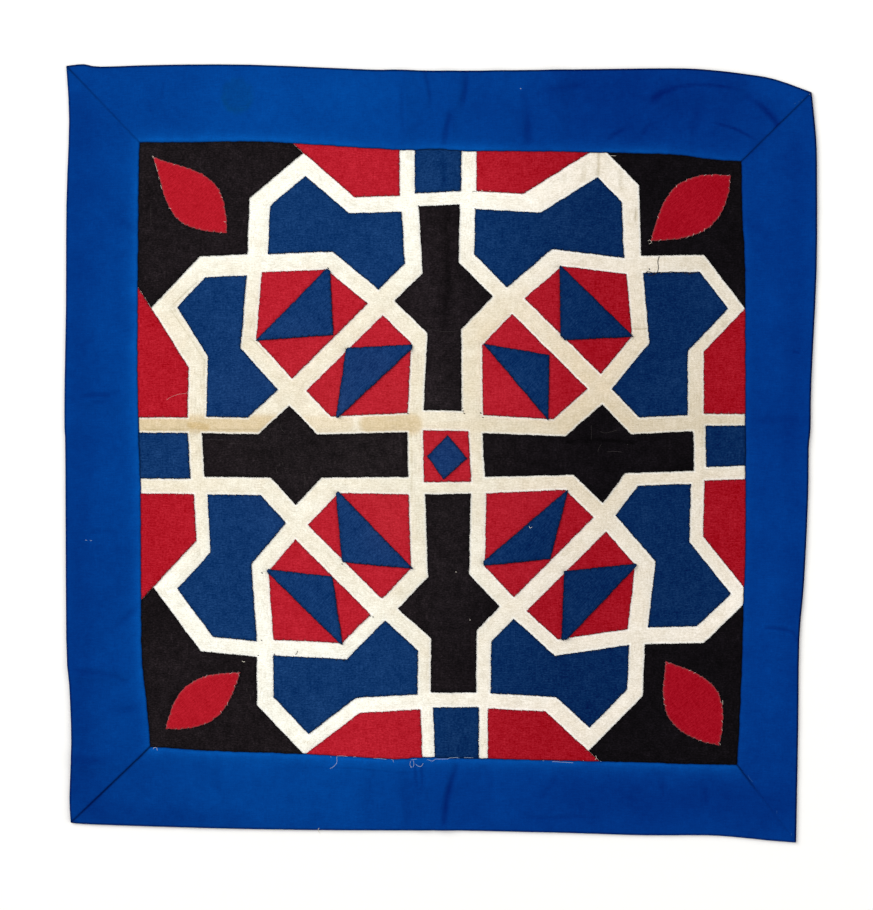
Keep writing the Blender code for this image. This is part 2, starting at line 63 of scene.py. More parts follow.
# Each layer of cloth over the folds: its underside and face, the width that its turned edge rolls over,
# the height of the edge's outermost line, and how far the single cloth inside the turnings sinks
LAYER_COLUMNS = ("under", "face", "roll", "brink", "sink")
LAYERS = {
    "ground": (0.0, 1.15, 0.5, 0.6, 0.0),
    "patch": (1.3, 2.4, 1.0, 1.65, 0.22),
    "trim": (2.44, 3.5, 0.9, 2.75, 0.12),
    "border": (0.0, 2.4, 1.3, 1.2, 0.0),
}

# Cloth, layer and grain angle in degrees of the nodes whose names start so
KIND_COLUMNS = ("start", "cloth", "layer", "grain")
KINDS = (
    ("ground_panel", "off_white", "ground", 1.0),
    ("border", "royal_blue", "border", 0.0),
    ("arm", "black", "patch", 2.0),
    ("corner", "black", "patch", -3.0),
    ("edge_square", "navy", "patch", 1.5),
    ("edge_red", "red", "patch", -1.0),
    ("kite", "navy", "patch", 3.0),
    ("octagon", "red", "patch", 2.0),
    ("triangle", "navy", "trim", 44.0),
    ("centre_square", "red", "patch", 0.0),
    ("centre_diamond", "navy", "trim", 2.0),
    ("leaf", "red_leaf", "trim", 40.0),
)
BELOW = {"triangle": "octagon", "leaf": "corner", "centre_diamond": "centre_square"}

# How far, in degrees, a piece's own grain may lie off that of its kind
GRAIN_SPREAD = 3.0

# The top of a node is where its faces point up by more than FACES_UP, a run of its outline is straight
# within STRAIGHT mm, and fewer stretches than FEW_STRETCHES may be long ones
FACES_UP = 0.5
STRAIGHT = 0.02
FEW_STRETCHES = 8

# The soft folds that the model's solids lie on: ends of the crest, half width, and height,
# from the pattern's middle
RIDGES = {
    "centre_fold": ((1.5, 222), (-1.5, -212), 9, 1.1),
    "level_fold": ((-150, 18), (-24, 17), 9, 0.7),
    "top_left_swell": ((-24, 176), (-24, 214), 9, 0.9),
    "top_middle_swell": ((30, 178), (29, 214), 10, 0.8),
    "top_right_swell": ((60, 178), (62, 214), 11, 0.9),
    "top_right_puff": ((118, 202), (160, 206), 10, 1.4),
    "corner_puff": ((150, 187), (172, 178), 8, 1.0),
    "corner_tip_puff": ((174, 198), (188, 186), 8, 1.2),
    "left_blister": ((-203, 33), (-184, 31), 9, 1.0),
    "left_low_swell": ((-207, -120), (-181, -119), 10, 0.9),
    "left_corner_swell": ((-208, -170), (-184, -169), 9, 0.9),
    "right_swell": ((182, -80), (184, -108), 9, 0.9),
    "bottom_swell": ((-14, -178), (-13, -206), 8, 0.8),
}

# Small creases: half width in mm, depth in mm, how much painted shade darkens the cloth in it, and where
# it runs on the photograph with its strength there
CREASES = {
    "top_a": (1.2, 0.2, 0.10, ((401, 84, 0), (402, 100, 0.8), (402, 118, 1), (403, 134, 0.3))),
    "top_b": (1.2, 0.3, 0.16, ((424, 70, 0.6), (428, 84, 1), (430, 97, 0.8), (431, 110, 0))),
    "top_c": (1.7, 0.4, 0.24, ((466, 70, 0.5), (466, 83, 1), (464, 96, 1), (461, 108, 0.3),
                               (457, 116, 0))),
    "top_c_low": (1.9, 0.45, 0.28, ((452, 108, 0), (449, 117, 0.8), (446, 129, 1), (444, 143, 0.7))),
    "top_d": (2.6, 0.35, 0.22, ((524, 92, 0.3), (526, 106, 0.5), (527, 124, 1), (528, 140, 0.9))),
    "top_streak": (1.8, 0.15, 0.12, ((538, 94, 0.2), (556, 89, 1), (572, 86, 1), (586, 83, 0.3))),
    "curve_head": (2.4, 0.45, 0.30, ((650, 103, 0.3), (656, 97, 1), (666, 91, 0.7), (680, 87, 0.2))),
    "curve": (1.0, 0.3, 0.22, ((672, 88, 0.3), (687, 85.5, 0.7), (703, 85, 1), (718, 86, 1),
                               (737, 89, 0.3))),
    "corner_wide": (1.9, 0.45, 0.3, ((740, 91, 0.1), (750, 98, 0.35), (761, 106, 0.8), (770, 115, 1),
                                     (778, 126, 0.8))),
    "corner_thin": (0.9, 0.3, 0.22, ((708, 122, 0), (720, 124.5, 0.6), (735, 129, 1), (746, 134.5, 1),
                                     (755, 140, 0.4))),
    "top_soft": (2.6, 0.2, 0.12, ((701, 90, 0.3), (697, 112, 0.8), (694, 130, 1), (692, 148, 0.6))),
    "top_diagonal_a": (1.4, 0.25, 0.2, ((607, 139, 0.4), (617, 133, 1), (629, 126, 0.3))),
    "top_diagonal_b": (1.4, 0.2, 0.15, ((641, 139, 0.3), (646, 129, 0.9), (652, 121, 0.3))),
    "top_tick": (1.2, 0.15, 0.08, ((164, 82, 0.5), (163, 90, 1), (162, 98, 0.4))),
    "bottom_a": (0.8, 0.3, 0.2, ((415, 766, 0.8), (416, 780, 1), (418, 794, 0.3))),
    "bottom_b": (0.8, 0.3, 0.2, ((421, 765, 1), (422, 780, 1), (420, 796, 0.3))),
    "bottom_c": (1.9, 0.5, 0.3, ((456, 767, 0.5), (450, 785, 1), (446, 802, 1), (444, 822, 0.7))),
    "bottom_soft_a": (3.2, 0.2, 0.1, ((407, 785, 0.5), (406, 803, 1), (408, 822, 0.6))),
    "bottom_soft_b": (3.0, 0.15, 0.1, ((214, 773, 0.7), (219, 787, 1), (222, 800, 0.3))),
    "bottom_soft_c": (4.0, 0.2, 0.09, ((312, 800, 0.6), (315, 812, 1), (314, 824, 0.8))),
    "bottom_soft_d": (3.0, 0.2, 0.09, ((368, 776, 0.3), (367, 800, 1), (366, 824, 0.8))),
    "bottom_soft_e": (2.0, 0.2, 0.12, ((560, 770, 0.3), (552, 783, 1), (542, 796, 0.7))),
    "bottom_soft_f": (2.4, 0.15, 0.1, ((488, 773, 0.5), (490, 787, 1), (489, 800, 0.3))),
    "bottom_soft_g": (2.4, 0.15, 0.1, ((655, 772, 0.3), (661, 785, 1), (664, 800, 0.5))),
    "bottom_soft_h": (2.4, 0.15, 0.1, ((702, 780, 0.4), (705, 790, 1), (706, 803, 0.5))),
    "bottom_level": (1.2, 0.15, 0.1, ((520, 817, 0.3), (545, 818, 1), (573, 817, 1), (600, 818, 0.3))),
    "bottom_line": (0.5, 0.15, 0.1, ((305, 768, 0.2), (335, 768, 0.8), (370, 770, 1), (402, 773, 0.7),
                                     (428, 771, 0.2))),
    "left_blot": (1.6, 0.3, 0.2, ((80, 397, 0.4), (92, 395, 1), (104, 395, 0.9), (119, 392, 0.5))),
    "left_blot_b": (1.2, 0.2, 0.12, ((92, 402, 0.4), (100, 402, 1), (112, 401, 0.4))),
    "left_streak": (1.5, 0.15, 0.1, ((84, 533, 0.4), (100, 531, 1), (118, 532, 0.5))),
    "left_diagonal": (2.0, 0.25, 0.14, ((138, 604, 0.8), (127, 616, 1), (114, 630, 0.4))),
    "left_low": (1.8, 0.3, 0.16, ((73, 669, 0.5), (90, 672, 1), (108, 674, 0.8), (126, 681, 0.6))),
    "left_lower": (2.0, 0.2, 0.1, ((108, 711, 0.4), (124, 710, 1), (140, 708, 0.6))),
    "left_foot": (2.5, 0.2, 0.12, ((72, 759, 0.4), (92, 760, 1), (112, 758, 0.7), (124, 755, 0.3))),
    "left_head": (2.5, 0.2, 0.1, ((113, 214, 0.4), (124, 222, 1), (138, 230, 0.6))),
    "right_thin": (1.0, 0.3, 0.18, ((762, 629, 0.3), (770, 628, 1), (782, 629, 1), (792, 632, 0.8),
                                    (797, 638, 0.8))),
    "right_level": (2.2, 0.2, 0.12, ((752, 421, 0.5), (770, 420, 1), (796, 419, 0.6))),
    "right_head": (3.0, 0.2, 0.12, ((746, 212, 0.5), (750, 224, 1), (766, 232, 0.4))),
    "right_tick": (0.8, 0.1, 0.15, ((794, 352, 1), (799, 352.5, 1))),
    "square_top_stripe": (1.6, 0.25, 0.2, ((444, 156, 0.6), (444, 172, 1), (444, 188, 0.8))),
    "arm_top_stripe": (1.6, 0.3, 0.5, ((447.5, 207, 0.35), (448, 250, 0.5), (449, 270, 1), (448, 290, 1),
                                       (446, 312, 0.3))),
    "arm_top_soft": (3.5, 0.1, 0.15, ((441, 275, 0.3), (441, 300, 1), (441, 318, 0.3))),
    "arm_left_level": (1.2, 0.25, 0.25, ((293, 443.5, 0.3), (305, 443.5, 1), (318, 443, 0.8))),
    "arm_left_upright": (2.0, 0.1, 0.12, ((264, 438, 0.7), (263, 455, 1), (264, 473, 0.5))),
    "arm_left_line": (0.4, 0.1, 0.25, ((208, 441.7, 0.6), (218, 442.4, 1), (228, 443.3, 0.5))),
    "arm_right_level": (1.3, 0.35, 0.62, ((563, 440, 0.7), (568, 442, 1), (580, 441, 0.6), (595, 440, 1),
                                          (615, 441, 1), (632, 443, 0.9))),
    "corner_tl_line": (0.6, 0.2, 0.3, ((252.6, 170, 0.5), (252.6, 180, 1), (252.5, 188, 0.7))),
    "corner_tl_soft": (0.5, 0.1, 0.15, ((213.4, 152, 0.7), (213.4, 172, 0.7))),
    "arm_bottom_stripe": (1.4, 0.22, 0.12, ((445, 592, 0.7), (444, 670, 1), (445, 742, 0.7))),
    "strap_left_a": (0.4, 0.1, 0.16, ((142, 429.5, 0.3), (150, 430, 1), (172, 430, 0.9),
                                      (188, 430, 0.4))),
    "strap_left_b": (0.4, 0.1, 0.16, ((212, 430, 0.4), (230, 430, 1), (252, 430, 0.9), (268, 430, 0.3))),
    "strap_middle": (0.5, 0.2, 0.12, ((411, 430, 0.5), (412, 466, 1), (411, 500, 0.5))),
    "strap_right": (0.5, 0.2, 0.25, ((633, 328.5, 1), (640, 328.8, 1), (647, 328.6, 1))),
    "pucker_a": (1.0, 0.25, 0.24, ((598.8, 153, 1), (598.6, 165, 1), (598.2, 177, 1))),
    "pucker_b": (1.4, 0.2, 0.16, ((585, 162, 0.6), (584.5, 172, 1), (584, 181, 0.6))),
    "pucker_c": (1.3, 0.2, 0.14, ((564.4, 173, 0.7), (564, 182, 0.8))),
    "pucker_d": (1.2, 0.2, 0.14, ((621, 171, 0.6), (621, 180, 1), (621, 189, 0.7))),
    "pucker_e": (0.8, 0.15, 0.25, ((636.3, 209, 0.5), (636, 214, 1), (635.5, 220, 0.8))),
    "blot_a": (1.3, 0.1, 0.13, ((725, 323, 1), (724, 326, 1))),
    "blot_b": (1.3, 0.1, 0.13, ((718, 330, 1), (717, 333, 1))),
    "blot_c": (1.2, 0.1, 0.15, ((708, 336, 1), (707, 339, 1))),
    "fold_a": (0.35, 0.15, 0.22, ((196, 283, 1), (184, 294, 0.8), (172.8, 304.8, 1))),
    "fold_b": (0.4, 0.15, 0.18, ((169.8, 308.5, 0.6), (179.5, 322, 1), (194.5, 344.5, 0.8),
                                 (205, 361, 1))),
    "fold_c": (0.35, 0.15, 0.28, ((250, 338.5, 0.8), (257.5, 344.5, 1), (268, 356.5, 0.7))),
    "fold_d": (0.4, 0.1, 0.12, ((204.3, 364, 0.7), (204, 385, 0.7))),
}

# Spacing in mm of the points along an outline, inside a patch, on the straps, on the ground under
# patches, on undersides, along a crease and along a loose thread, and how many points of an outline there
# are to a stitch
EDGE_PITCH = 0.8
PATCH_PITCH = 2.4
STRAP_PITCH = 1.1
HIDDEN_PITCH = 5.0
UNDER_PITCH = 7.0
CREASE_PITCH = 0.8
THREAD_PITCH = 0.35
STITCH_EVERY = 5

# The lines of points beside an edge, in mm, on a patch, an underside and the ground. The close ones have
# all of the edge's points, and a point keeps a share of its distance from other stretches
RINGS = (0.15, 0.42, 0.85, 1.5, 2.6)
UNDER_RINGS = (0.5, 1.4)
GROUND_RINGS = (0.3, 1.0)
FULL_RINGS = 1.2
RING_CLEAR = 0.85

# How far a stitch pulls the edge in and down, the share that its neighbours get, and how far an edge is
# pushed out to meet the cloth beside it
PULLS = (0.1, 0.32)
PULL_DOWN = 0.16
PULL_BESIDE = 0.25
PUSHES = {"sewn": 0.0, "meets": 0.2, "panel": 0.2, "strip": 0.17, "outside": 0.0}

# How close, in mm, the edges of two patches lie where they meet, and an edge to the panel's or a strip's
MEETS_WITHIN = 0.8
LIES_WITHIN = 1.0

# Unevenness: how far it swings, how many mm its swells are across, and its seed
UNEVEN = {
    "fold": (1.0, 26.0, 3),
    "cut_x": (0.1, 9.0, 11),
    "cut_x_fine": (0.09, 3.0, 12),
    "cut_y": (0.1, 9.0, 13),
    "cut_y_fine": (0.09, 3.0, 14),
    "face_edge": (0.07, 5.0, 21),
    "face": (0.04, 11.0, 22),
    "strap": (0.1, 7.0, 31),
    "strap_fine": (0.05, 3.0, 32),
    "line_a": (1.3, 12.0, 33),
    "line_a_depth": (1.0, 20.0, 34),
    "line_b": (1.3, 12.0, 35),
    "line_b_depth": (1.0, 20.0, 36),
    "border": (0.1, 14.0, 41),
    "border_seam": (0.04, 5.0, 42),
    "band": (0.15, 9.0, 43),
    "ring": (0.05, 9.0, 44),
    "tone": (0.05, 70.0, 51),
    "worn": (0.3, 30.0, 52),
    "soil": (0.04, 18.0, 61),
    "soil_fine": (0.03, 6.0, 62),
}

# Each is a sum of sines: how many, the spread of their lengths, and what the sum is divided by
SINES = 14
SINE_LENGTHS = (0.7, 2.2)
SINE_SUM = 1.6

# The cloth's height in mm over the folds where its unevenness is 0
FOLD_SWELL = 0.08

# The unevenness of a cut edge fades outside the panel: the share that it starts from, of which no more
# than 1 counts, and the mm over which it falls by 1
CUT_FADE = (1.2, 20.0)

# The low rise beside a crease: its share of the crease's depth, and its place and width in half widths
CREASE_RISE = (0.35, 2.0, 0.8)

# Places and outlines


def kind_of(node):
    """The cloth, layer and grain of a node."""
    return next(dict(zip(KIND_COLUMNS, kind)) for kind in KINDS if node.startswith(kind[0]))


def on_photo(x, y):
    """The place on the cloth, in mm, of a pixel of the photograph."""
    return np.array(((x - PATTERN_PIXEL[0]) * PIXEL, (PATTERN_PIXEL[1] - y) * PIXEL)) + PATTERN_MIDDLE


def node_outline(name):
    """The outline of a node's top, anticlockwise, without points on straight runs."""
    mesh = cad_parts[name].data
    following = {}
    for polygon in mesh.polygons:
        if polygon.normal.z < FACES_UP:
            continue
        keys = []
        for index in polygon.vertices:
            place = mesh.vertices[index].co
            keys.append((round(place.x / MM, 3), round(place.y / MM, 3)))
        for start, end in zip(keys, keys[1:] + keys[:1]):
            if following.get(end) and start in following[end]:
                following[end].remove(start)
            else:
                following.setdefault(start, []).append(end)
    following = {start: ends for start, ends in following.items() if ends}
    loops = []
    while following:
        start = next(iter(following))
        loop = [start]
        while following.get(loop[-1]):
            ends = following[loop[-1]]
            end = ends.pop()
            if not ends:
                del following[loop[-1]]
            if end == start:
                break
            loop.append(end)
        else:
            following.pop(loop[-1], None)
        loops.append(loop)
    return without_straight_points(np.array(max(loops, key=len), float))


def without_straight_points(outline):
    """An outline without the points that lie within STRAIGHT of the line between their neighbours."""
    points = list(map(tuple, outline))
    index = 0
    while index < len(points):
        before, here, after = (np.array(points[(index + step) % len(points)]) for step in (-1, 0, 1))
        span = after - before
        length = np.linalg.norm(span)
        aside = abs(span[0] * (here - before)[1] - span[1] * (here - before)[0]) / max(length, 1e-9)
        if aside < STRAIGHT and len(points) > 3:
            points.pop(index)
            index = max(index - 1, 0)
        else:
            index += 1
    return np.array(points)


def stretches(outline):
    """The start and the end of each stretch of a closed outline."""
    return zip(outline, np.roll(outline, -1, axis=0))


def divided(outline, pitch):
    """A closed outline with points about pitch apart, its corners kept."""
    points = []
    for start, end in stretches(outline):
        count = max(1, round(np.linalg.norm(end - start) / pitch))
        points.append(start + (end - start) * np.arange(count)[:, None] / count)
    return np.concatenate(points)


def smooth_route(points, pitch):
    """An even curve through some places."""
    points = np.array(points, float)
    points = np.concatenate((2 * points[:1] - points[1:2], points, 2 * points[-1:] - points[-2:-1]))
    route = []
    for a, b, c, d in zip(points, points[1:], points[2:], points[3:]):
        count = max(2, round(np.linalg.norm(c - b) / pitch))
        t = (np.arange(count) / count)[:, None]
        route.append(0.5 * (2 * b + (c - a) * t + (2 * a - 5 * b + 4 * c - d) * t ** 2
                            + (3 * b - a - 3 * c + d) * t ** 3))
    return np.concatenate(route + [points[-2:-1]])


def outline_area(outline):
    """The area inside an outline, in square mm."""
    ends = np.roll(outline, -1, axis=0)
    return 0.5 * np.sum(outline[:, 0] * ends[:, 1] - outline[:, 1] * ends[:, 0])


def unit(vectors):
    """The directions of some vectors, each of length 1."""
    return vectors / np.maximum(np.linalg.norm(vectors, axis=-1), 1e-9)[..., None]


def bell(value):
    """From 1 where a value is 0 down to 0 well away from it."""
    return np.exp(-value ** 2)


def tree_of(points):
    """A tree that finds the nearest of some places."""
    tree = kdtree.KDTree(len(points))
    for index, (x, y) in enumerate(points):
        tree.insert((x, y, 0.0), index)
    tree.balance()
    return tree


def nearest(tree, places):
    """Which of a tree's places is nearest to each place, and how far it is."""
    found = [tree.find((x, y, 0.0)) for x, y in places]
    return np.array([index for _, index, _ in found], int), np.array([gap for _, _, gap in found])


def stretch_distance(places, start, end):
    """How far places are from a straight stretch, or each from its own."""
    along = end - start
    share = np.sum((places - start) * along, axis=-1) / np.maximum(np.sum(along * along, axis=-1), 1e-12)
    gap = places - start - np.clip(share, 0.0, 1.0)[:, None] * along
    return np.sqrt(np.sum(gap * gap, axis=1))


def photo_distance(places, start, end):
    """How far places are from a straight stretch between two pixels of the photograph."""
    return stretch_distance(places, on_photo(*start), on_photo(*end))


def distances(places, starts, ends):
    """How far each place is from the nearest of some stretches, which are short where they are many."""
    starts, ends = np.array(starts, float), np.array(ends, float)
    if not len(places):
        return np.zeros(0)
    if len(starts) < FEW_STRETCHES:
        return np.minimum.reduce([stretch_distance(places, *stretch) for stretch in zip(starts, ends)])
    tree = tree_of((starts + ends) / 2)
    close = np.array([[found[1] for found in tree.find_n((x, y, 0.0), 3)] for x, y in places])
    return np.minimum.reduce([stretch_distance(places, starts[near], ends[near]) for near in close.T])


def outline_distances(places, outline):
    """How far each place is from an outline whose points lie close together."""
    return distances(places, outline, np.roll(outline, -1, axis=0))


def route_distances(places, route):
    """How far each place is from an open route."""
    return distances(places, route[:-1], route[1:])


def inside(places, outline):
    """Which places lie inside an outline."""
    found = np.zeros(len(places), bool)
    for start, end in stretches(outline):
        crosses = (start[1] > places[:, 1]) != (end[1] > places[:, 1])
        if crosses.any():
            slope = (end[0] - start[0]) / (end[1] - start[1])
            found ^= crosses & (places[:, 0] < start[0] + slope * (places[:, 1] - start[1]))
    return found


def mostly_inside(places, outline):
    """Whether more than half of some places lie inside an outline."""
    return inside(places, outline).mean() > 0.5


def well_inside(places, outline, margin):
    """Those places that lie inside an outline, further from it than a margin."""
    places = places[inside(places, outline)]
    return places[outline_distances(places, outline) > margin]


def uneven(name, places):
    """The even, wandering value of one unevenness at each place."""
    swing, size, seed = UNEVEN[name]
    chance = np.random.default_rng(seed)
    total = np.zeros(len(places))
    for _ in range(SINES):
        angle = chance.uniform(0.0, 2.0 * math.pi)
        pace = 2.0 * math.pi / (size * chance.uniform(*SINE_LENGTHS))
        total += np.sin(places @ np.array((math.cos(angle), math.sin(angle))) * pace
                        + chance.uniform(0.0, 2.0 * math.pi))
    return swing * (total / math.sqrt(SINES / 2.0) / SINE_SUM)


def smooth_step(value):
    """From 0 to 1 with level ends."""
    value = np.clip(value, 0.0, 1.0)
    return value * value * (3.0 - 2.0 * value)


def lattice(low, high, pitch):
    """Places on a triangular lattice over a box."""
    rows = np.arange(low[1], high[1], pitch * math.sqrt(3.0) / 2.0)
    columns = np.arange(low[0], high[0], pitch)
    x, y = np.meshgrid(columns, rows)
    x = x + (np.arange(len(rows)) % 2)[:, None] * pitch / 2.0
    return np.stack((x.ravel(), y.ravel()), axis=1)


# The folds and creases that the cloth lies in


def ridge_heights(places):
    """The height of the soft folds at each place."""
    heights = np.zeros(len(places))
    for start, end, half_width, height in RIDGES.values():
        start, end = np.array(start) + PATTERN_MIDDLE, np.array(end) + PATTERN_MIDDLE
        near = stretch_distance(places, start, end)
        swell = 0.5 + 0.5 * np.cos(np.pi * np.minimum(near / half_width, 1))
        heights = np.maximum(heights, height * swell)
    return heights


def fold_heights(places):
    """How far the cloth's underside stands off the surface at each place."""
    return ridge_heights(places) + FOLD_SWELL * (1.0 + np.clip(uneven("fold", places), -1.0, 1.0))


class Crease:
    """A small crease in the cloth's face: a trough with a low rise on each side, and painted shade in the
    trough.
    """

    def __init__(self, half_width, depth, painted_shade, stations):
        self.half_width, self.depth, self.painted_shade = half_width, depth, painted_shade
        points = smooth_route([(*on_photo(x, y), strength) for x, y, strength in stations], CREASE_PITCH)
        self.route, self.strengths = points[:, :2], np.clip(points[:, 2], 0.0, 1.0)
        self.tree = tree_of(self.route)

    def reach(self, places):
        """How far each place is from the crease, in its half widths."""
        return route_distances(places, self.route) / self.half_width

    def strength(self, places):
        """How strong the crease is at each place."""
        return self.strengths[nearest(self.tree, places)[0]]

    def sinks(self, places):
        """How far it sinks the face at each place."""
        reach = self.reach(places)
        rise, aside, width = CREASE_RISE
        return self.depth * self.strength(places) * (bell(reach) - rise * bell((reach - aside) / width))

    def darkens(self, places):
        """The share of the colour left at each place by the shade painted into the crease."""
        return 1.0 - self.painted_shade * self.strength(places) * bell(self.reach(places))


def creases_in(outline):
    """The creases that run inside an outline."""
    creases = [Crease(*row) for row in CREASES.values()]
    return [crease for crease in creases if mostly_inside(crease.route, outline)]


def wobble(outline):
    """An outline with the small unevenness of a hand-cut edge, less so away from the panel.

    Two edges that run side by side stay so.
    """
    x, y = (uneven(f"cut_{axis}", outline) + uneven(f"cut_{axis}_fine", outline) for axis in "xy")
    start, reach = CUT_FADE
    fade = smooth_step(start - outline_distances(outline, panel_edge) / reach)
    fade = np.where(inside(outline, panel_edge), 1.0, fade)
    return outline + np.stack((x, y), axis=1) * fade[:, None]


# Pieces of cloth


class Cloth:
    """One piece of cloth, from its node's outline to its mesh."""

    # How far a cloth hangs down past the patch below, and within what reach, in mm
    DROOP = (0.85, 0.9)

    # Where the single cloth inside the turnings begins to sink, and over what reach it sinks, in mm
    SINKS_FROM, SINKS_OVER = 3.5, 3.0

    # How far from the edge the points inside start, and those at creases, which is past the last ring
    INSIDE_FROM, CREASES_FROM = RINGS[-1] + 1.0, RINGS[-1] + 0.4

    # The points at a crease: their least spacing in mm, and their spacing and margin in its half widths
    LEAST_PITCH, FINE_PITCH, FINE_MARGIN = 0.4, 0.5, 3.2

    # How far from the edge the uneven height beside it fades, and the places that a stitch pulls down
    EDGE_FADE, PULLED = 3.0, (0.01, 2.5)

    def __init__(self, node):
        kind = kind_of(node)
        self.node, self.cloth, self.layer = node, kind["cloth"], kind["layer"]
        self.shape = dict(zip(LAYER_COLUMNS, LAYERS[self.layer]))
        own_turn = random.Random(node + " grain").uniform(-GRAIN_SPREAD, GRAIN_SPREAD)
        self.grain = math.radians(kind["grain"] + own_turn)
        self.corners = outlines[node]
        self.resample()
        self.creases = creases_in(self.outline)
        start = next((start for start in BELOW if node.startswith(start)), None)
        self.below = start and node.replace(start, BELOW[start])

    def resample(self):
        """Set points along the outline: a stitch every few of them, where the edge is pulled in."""
        starts, ends = self.corners, np.roll(self.corners, -1, axis=0)
        chance = random.Random(self.node)
        points, pulls, pushes, kinds = [], [], [], []
        for start, end, kind in zip(starts, ends, self.edge_kinds((starts + ends) / 2)):
            count = max(1, round(np.linalg.norm(end - start) / EDGE_PITCH))
            for step in range(count):
                points.append(start + (end - start) * step / count)
                pushes.append(PUSHES[kind])
                kinds.append(kind)
                stitched = kind == "sewn" and step % STITCH_EVERY == STITCH_EVERY // 2
                pulls.append(chance.uniform(*PULLS) if stitched else 0.0)
        points = wobble(np.array(points))
        pushes = (np.roll(pushes, 1) + pushes) / 2
        pulls = np.array(pulls)
        beside = PULL_BESIDE * (np.roll(pulls, 1) + np.roll(pulls, -1))
        self.outline = points + self.normals_of(points) * (pulls + beside - pushes)[:, None]
        self.normals = self.normals_of(self.outline)
        self.kinds = np.array(kinds)
        self.stitches = np.flatnonzero(pulls)

    def edge_kinds(self, middles):
        """What each stretch of the edge does: sewn down, or met by the panel's edge or another patch."""
        kinds = np.full(len(middles), "sewn", dtype="<U8")
        if self.layer == "patch":
            beside = [divided(outlines[node], EDGE_PITCH) for node in patch_nodes if node != self.node]
            kinds[nearest(tree_of(np.concatenate(beside)), middles)[1] < MEETS_WITHIN] = "meets"
        kinds[outline_distances(middles, panel_edge) < LIES_WITHIN] = "panel"
        return kinds

    @staticmethod
    def normals_of(points):
        """The directions inwards at the points of an anticlockwise outline."""
        along = unit(np.roll(points, -1, axis=0) - np.roll(points, 1, axis=0))
        return np.stack((-along[:, 1], along[:, 0]), axis=1)

    def ring_places(self, rings):
        """Places beside the edge, so that the roll has enough points."""
        found = []
        for reach in rings:
            every = 1 if reach < FULL_RINGS else 2
            ring = (self.outline + self.normals * reach)[::every]
            near = outline_distances(ring, self.outline)
            found.append(ring[(near > RING_CLEAR * reach) & inside(ring, self.outline)])
        return np.concatenate(found)

    def inner_places(self, pitch, reach):
        """Places inside, away from the edge."""
        low, high = self.outline.min(axis=0), self.outline.max(axis=0)
        return well_inside(lattice(low, high, pitch), self.outline, reach)

    def face_places(self):
        """Where the points of the face go."""
        places = self.ring_places(RINGS), self.inner_places(PATCH_PITCH, self.INSIDE_FROM)
        return self.finer_at_creases(np.concatenate(places), self.CREASES_FROM)

    def finer_at_creases(self, places, reach):
        """Places with closer ones where a crease runs, but not within a reach of the edge."""
        for crease in self.creases:
            route, half_width = crease.route, crease.half_width
            pitch = max(self.LEAST_PITCH, self.FINE_PITCH * half_width)
            margin = self.FINE_MARGIN * half_width
            own = lattice(route.min(axis=0) - margin, route.max(axis=0) + margin, pitch)
            own = well_inside(own[route_distances(own, route) < margin], self.outline, reach)
            aside = route_distances(places, route) > margin + pitch
            edge = outline_distances(places, self.outline) <= reach
            places = np.concatenate((places[aside | edge], own))
        return places

    @staticmethod
    def rounded(share):
        """The share of the full height at a share of the way over a rolled edge."""
        return np.sqrt(1.0 - (1.0 - np.clip(share, 0.0, 1.0)) ** 2)

    def roll(self, near):
        """The share of the full height near an edge that is turned under."""
        return self.rounded(near / self.shape["roll"])

    def rolled(self, full, near):
        """The full heights, lowered where the edge is turned under."""
        brink = self.shape["brink"]
        return brink + (full - brink) * self.roll(near)

    def creased(self, places):
        """How far the creases sink the face at each place."""
        return sum((crease.sinks(places) for crease in self.creases), np.zeros(len(places)))

    def droop(self, places):
        """How far the cloth hangs down where it reaches past the patch that it is sewn on."""
        if self.below is None:
            return np.zeros(len(places))
        depth, reach = self.DROOP
        outline = cloths[self.below].outline
        past = np.where(inside(places, outline), 0.0, outline_distances(places, outline))
        return depth * smooth_step(past / reach)

    def face_heights(self, places, near):
        """The heights of the face, where near is how far each place is from the edge."""
        sunk = smooth_step((near - self.SINKS_FROM) / self.SINKS_OVER)
        full = self.shape["face"] - self.shape["sink"] * sunk
        full = full + uneven("face_edge", places) * np.exp(-near / self.EDGE_FADE)
        full = full + uneven("face", places)
        heights = self.rolled(full - self.creased(places), near)
        heights += fold_heights(places) - PULL_DOWN * self.pull_at(places, near)
        return heights - self.droop(places)

    def pull_at(self, places, near):
        """How hard the nearest stitch pulls the cloth down at each place, from 0 to 1."""
        pull = np.zeros(len(places))
        least, most = self.PULLED
        close = np.flatnonzero((near < most) & (near > least))
        if len(self.stitches) and len(close):
            gaps = nearest(tree_of(self.outline[self.stitches]), places[close])[1]
            pull[close] = np.exp(-gaps ** 2 / 0.8)
        return pull

    def under_heights(self, places, near):
        """The heights of the underside."""
        shape = self.shape
        fall = (shape["brink"] - shape["under"]) * self.roll(near)
        return fold_heights(places) + shape["brink"] - fall - self.droop(places)

    def triangles(self, places):
        """A triangle mesh inside the outline through places."""
        count = len(self.outline)
        joined = [Vector(p) for p in np.concatenate((self.outline, places))]
        made = geometry.delaunay_2d_cdt(joined, [], [list(range(count))], 1, 1e-7)
        order = [sources[0] if sources else None for sources in made[3]]
        if None in order or len(set(order)) < len(order):
            raise ValueError(self.node + " has an outline that crosses itself")
        return [[order[corner] for corner in triangle] for triangle in made[2]]

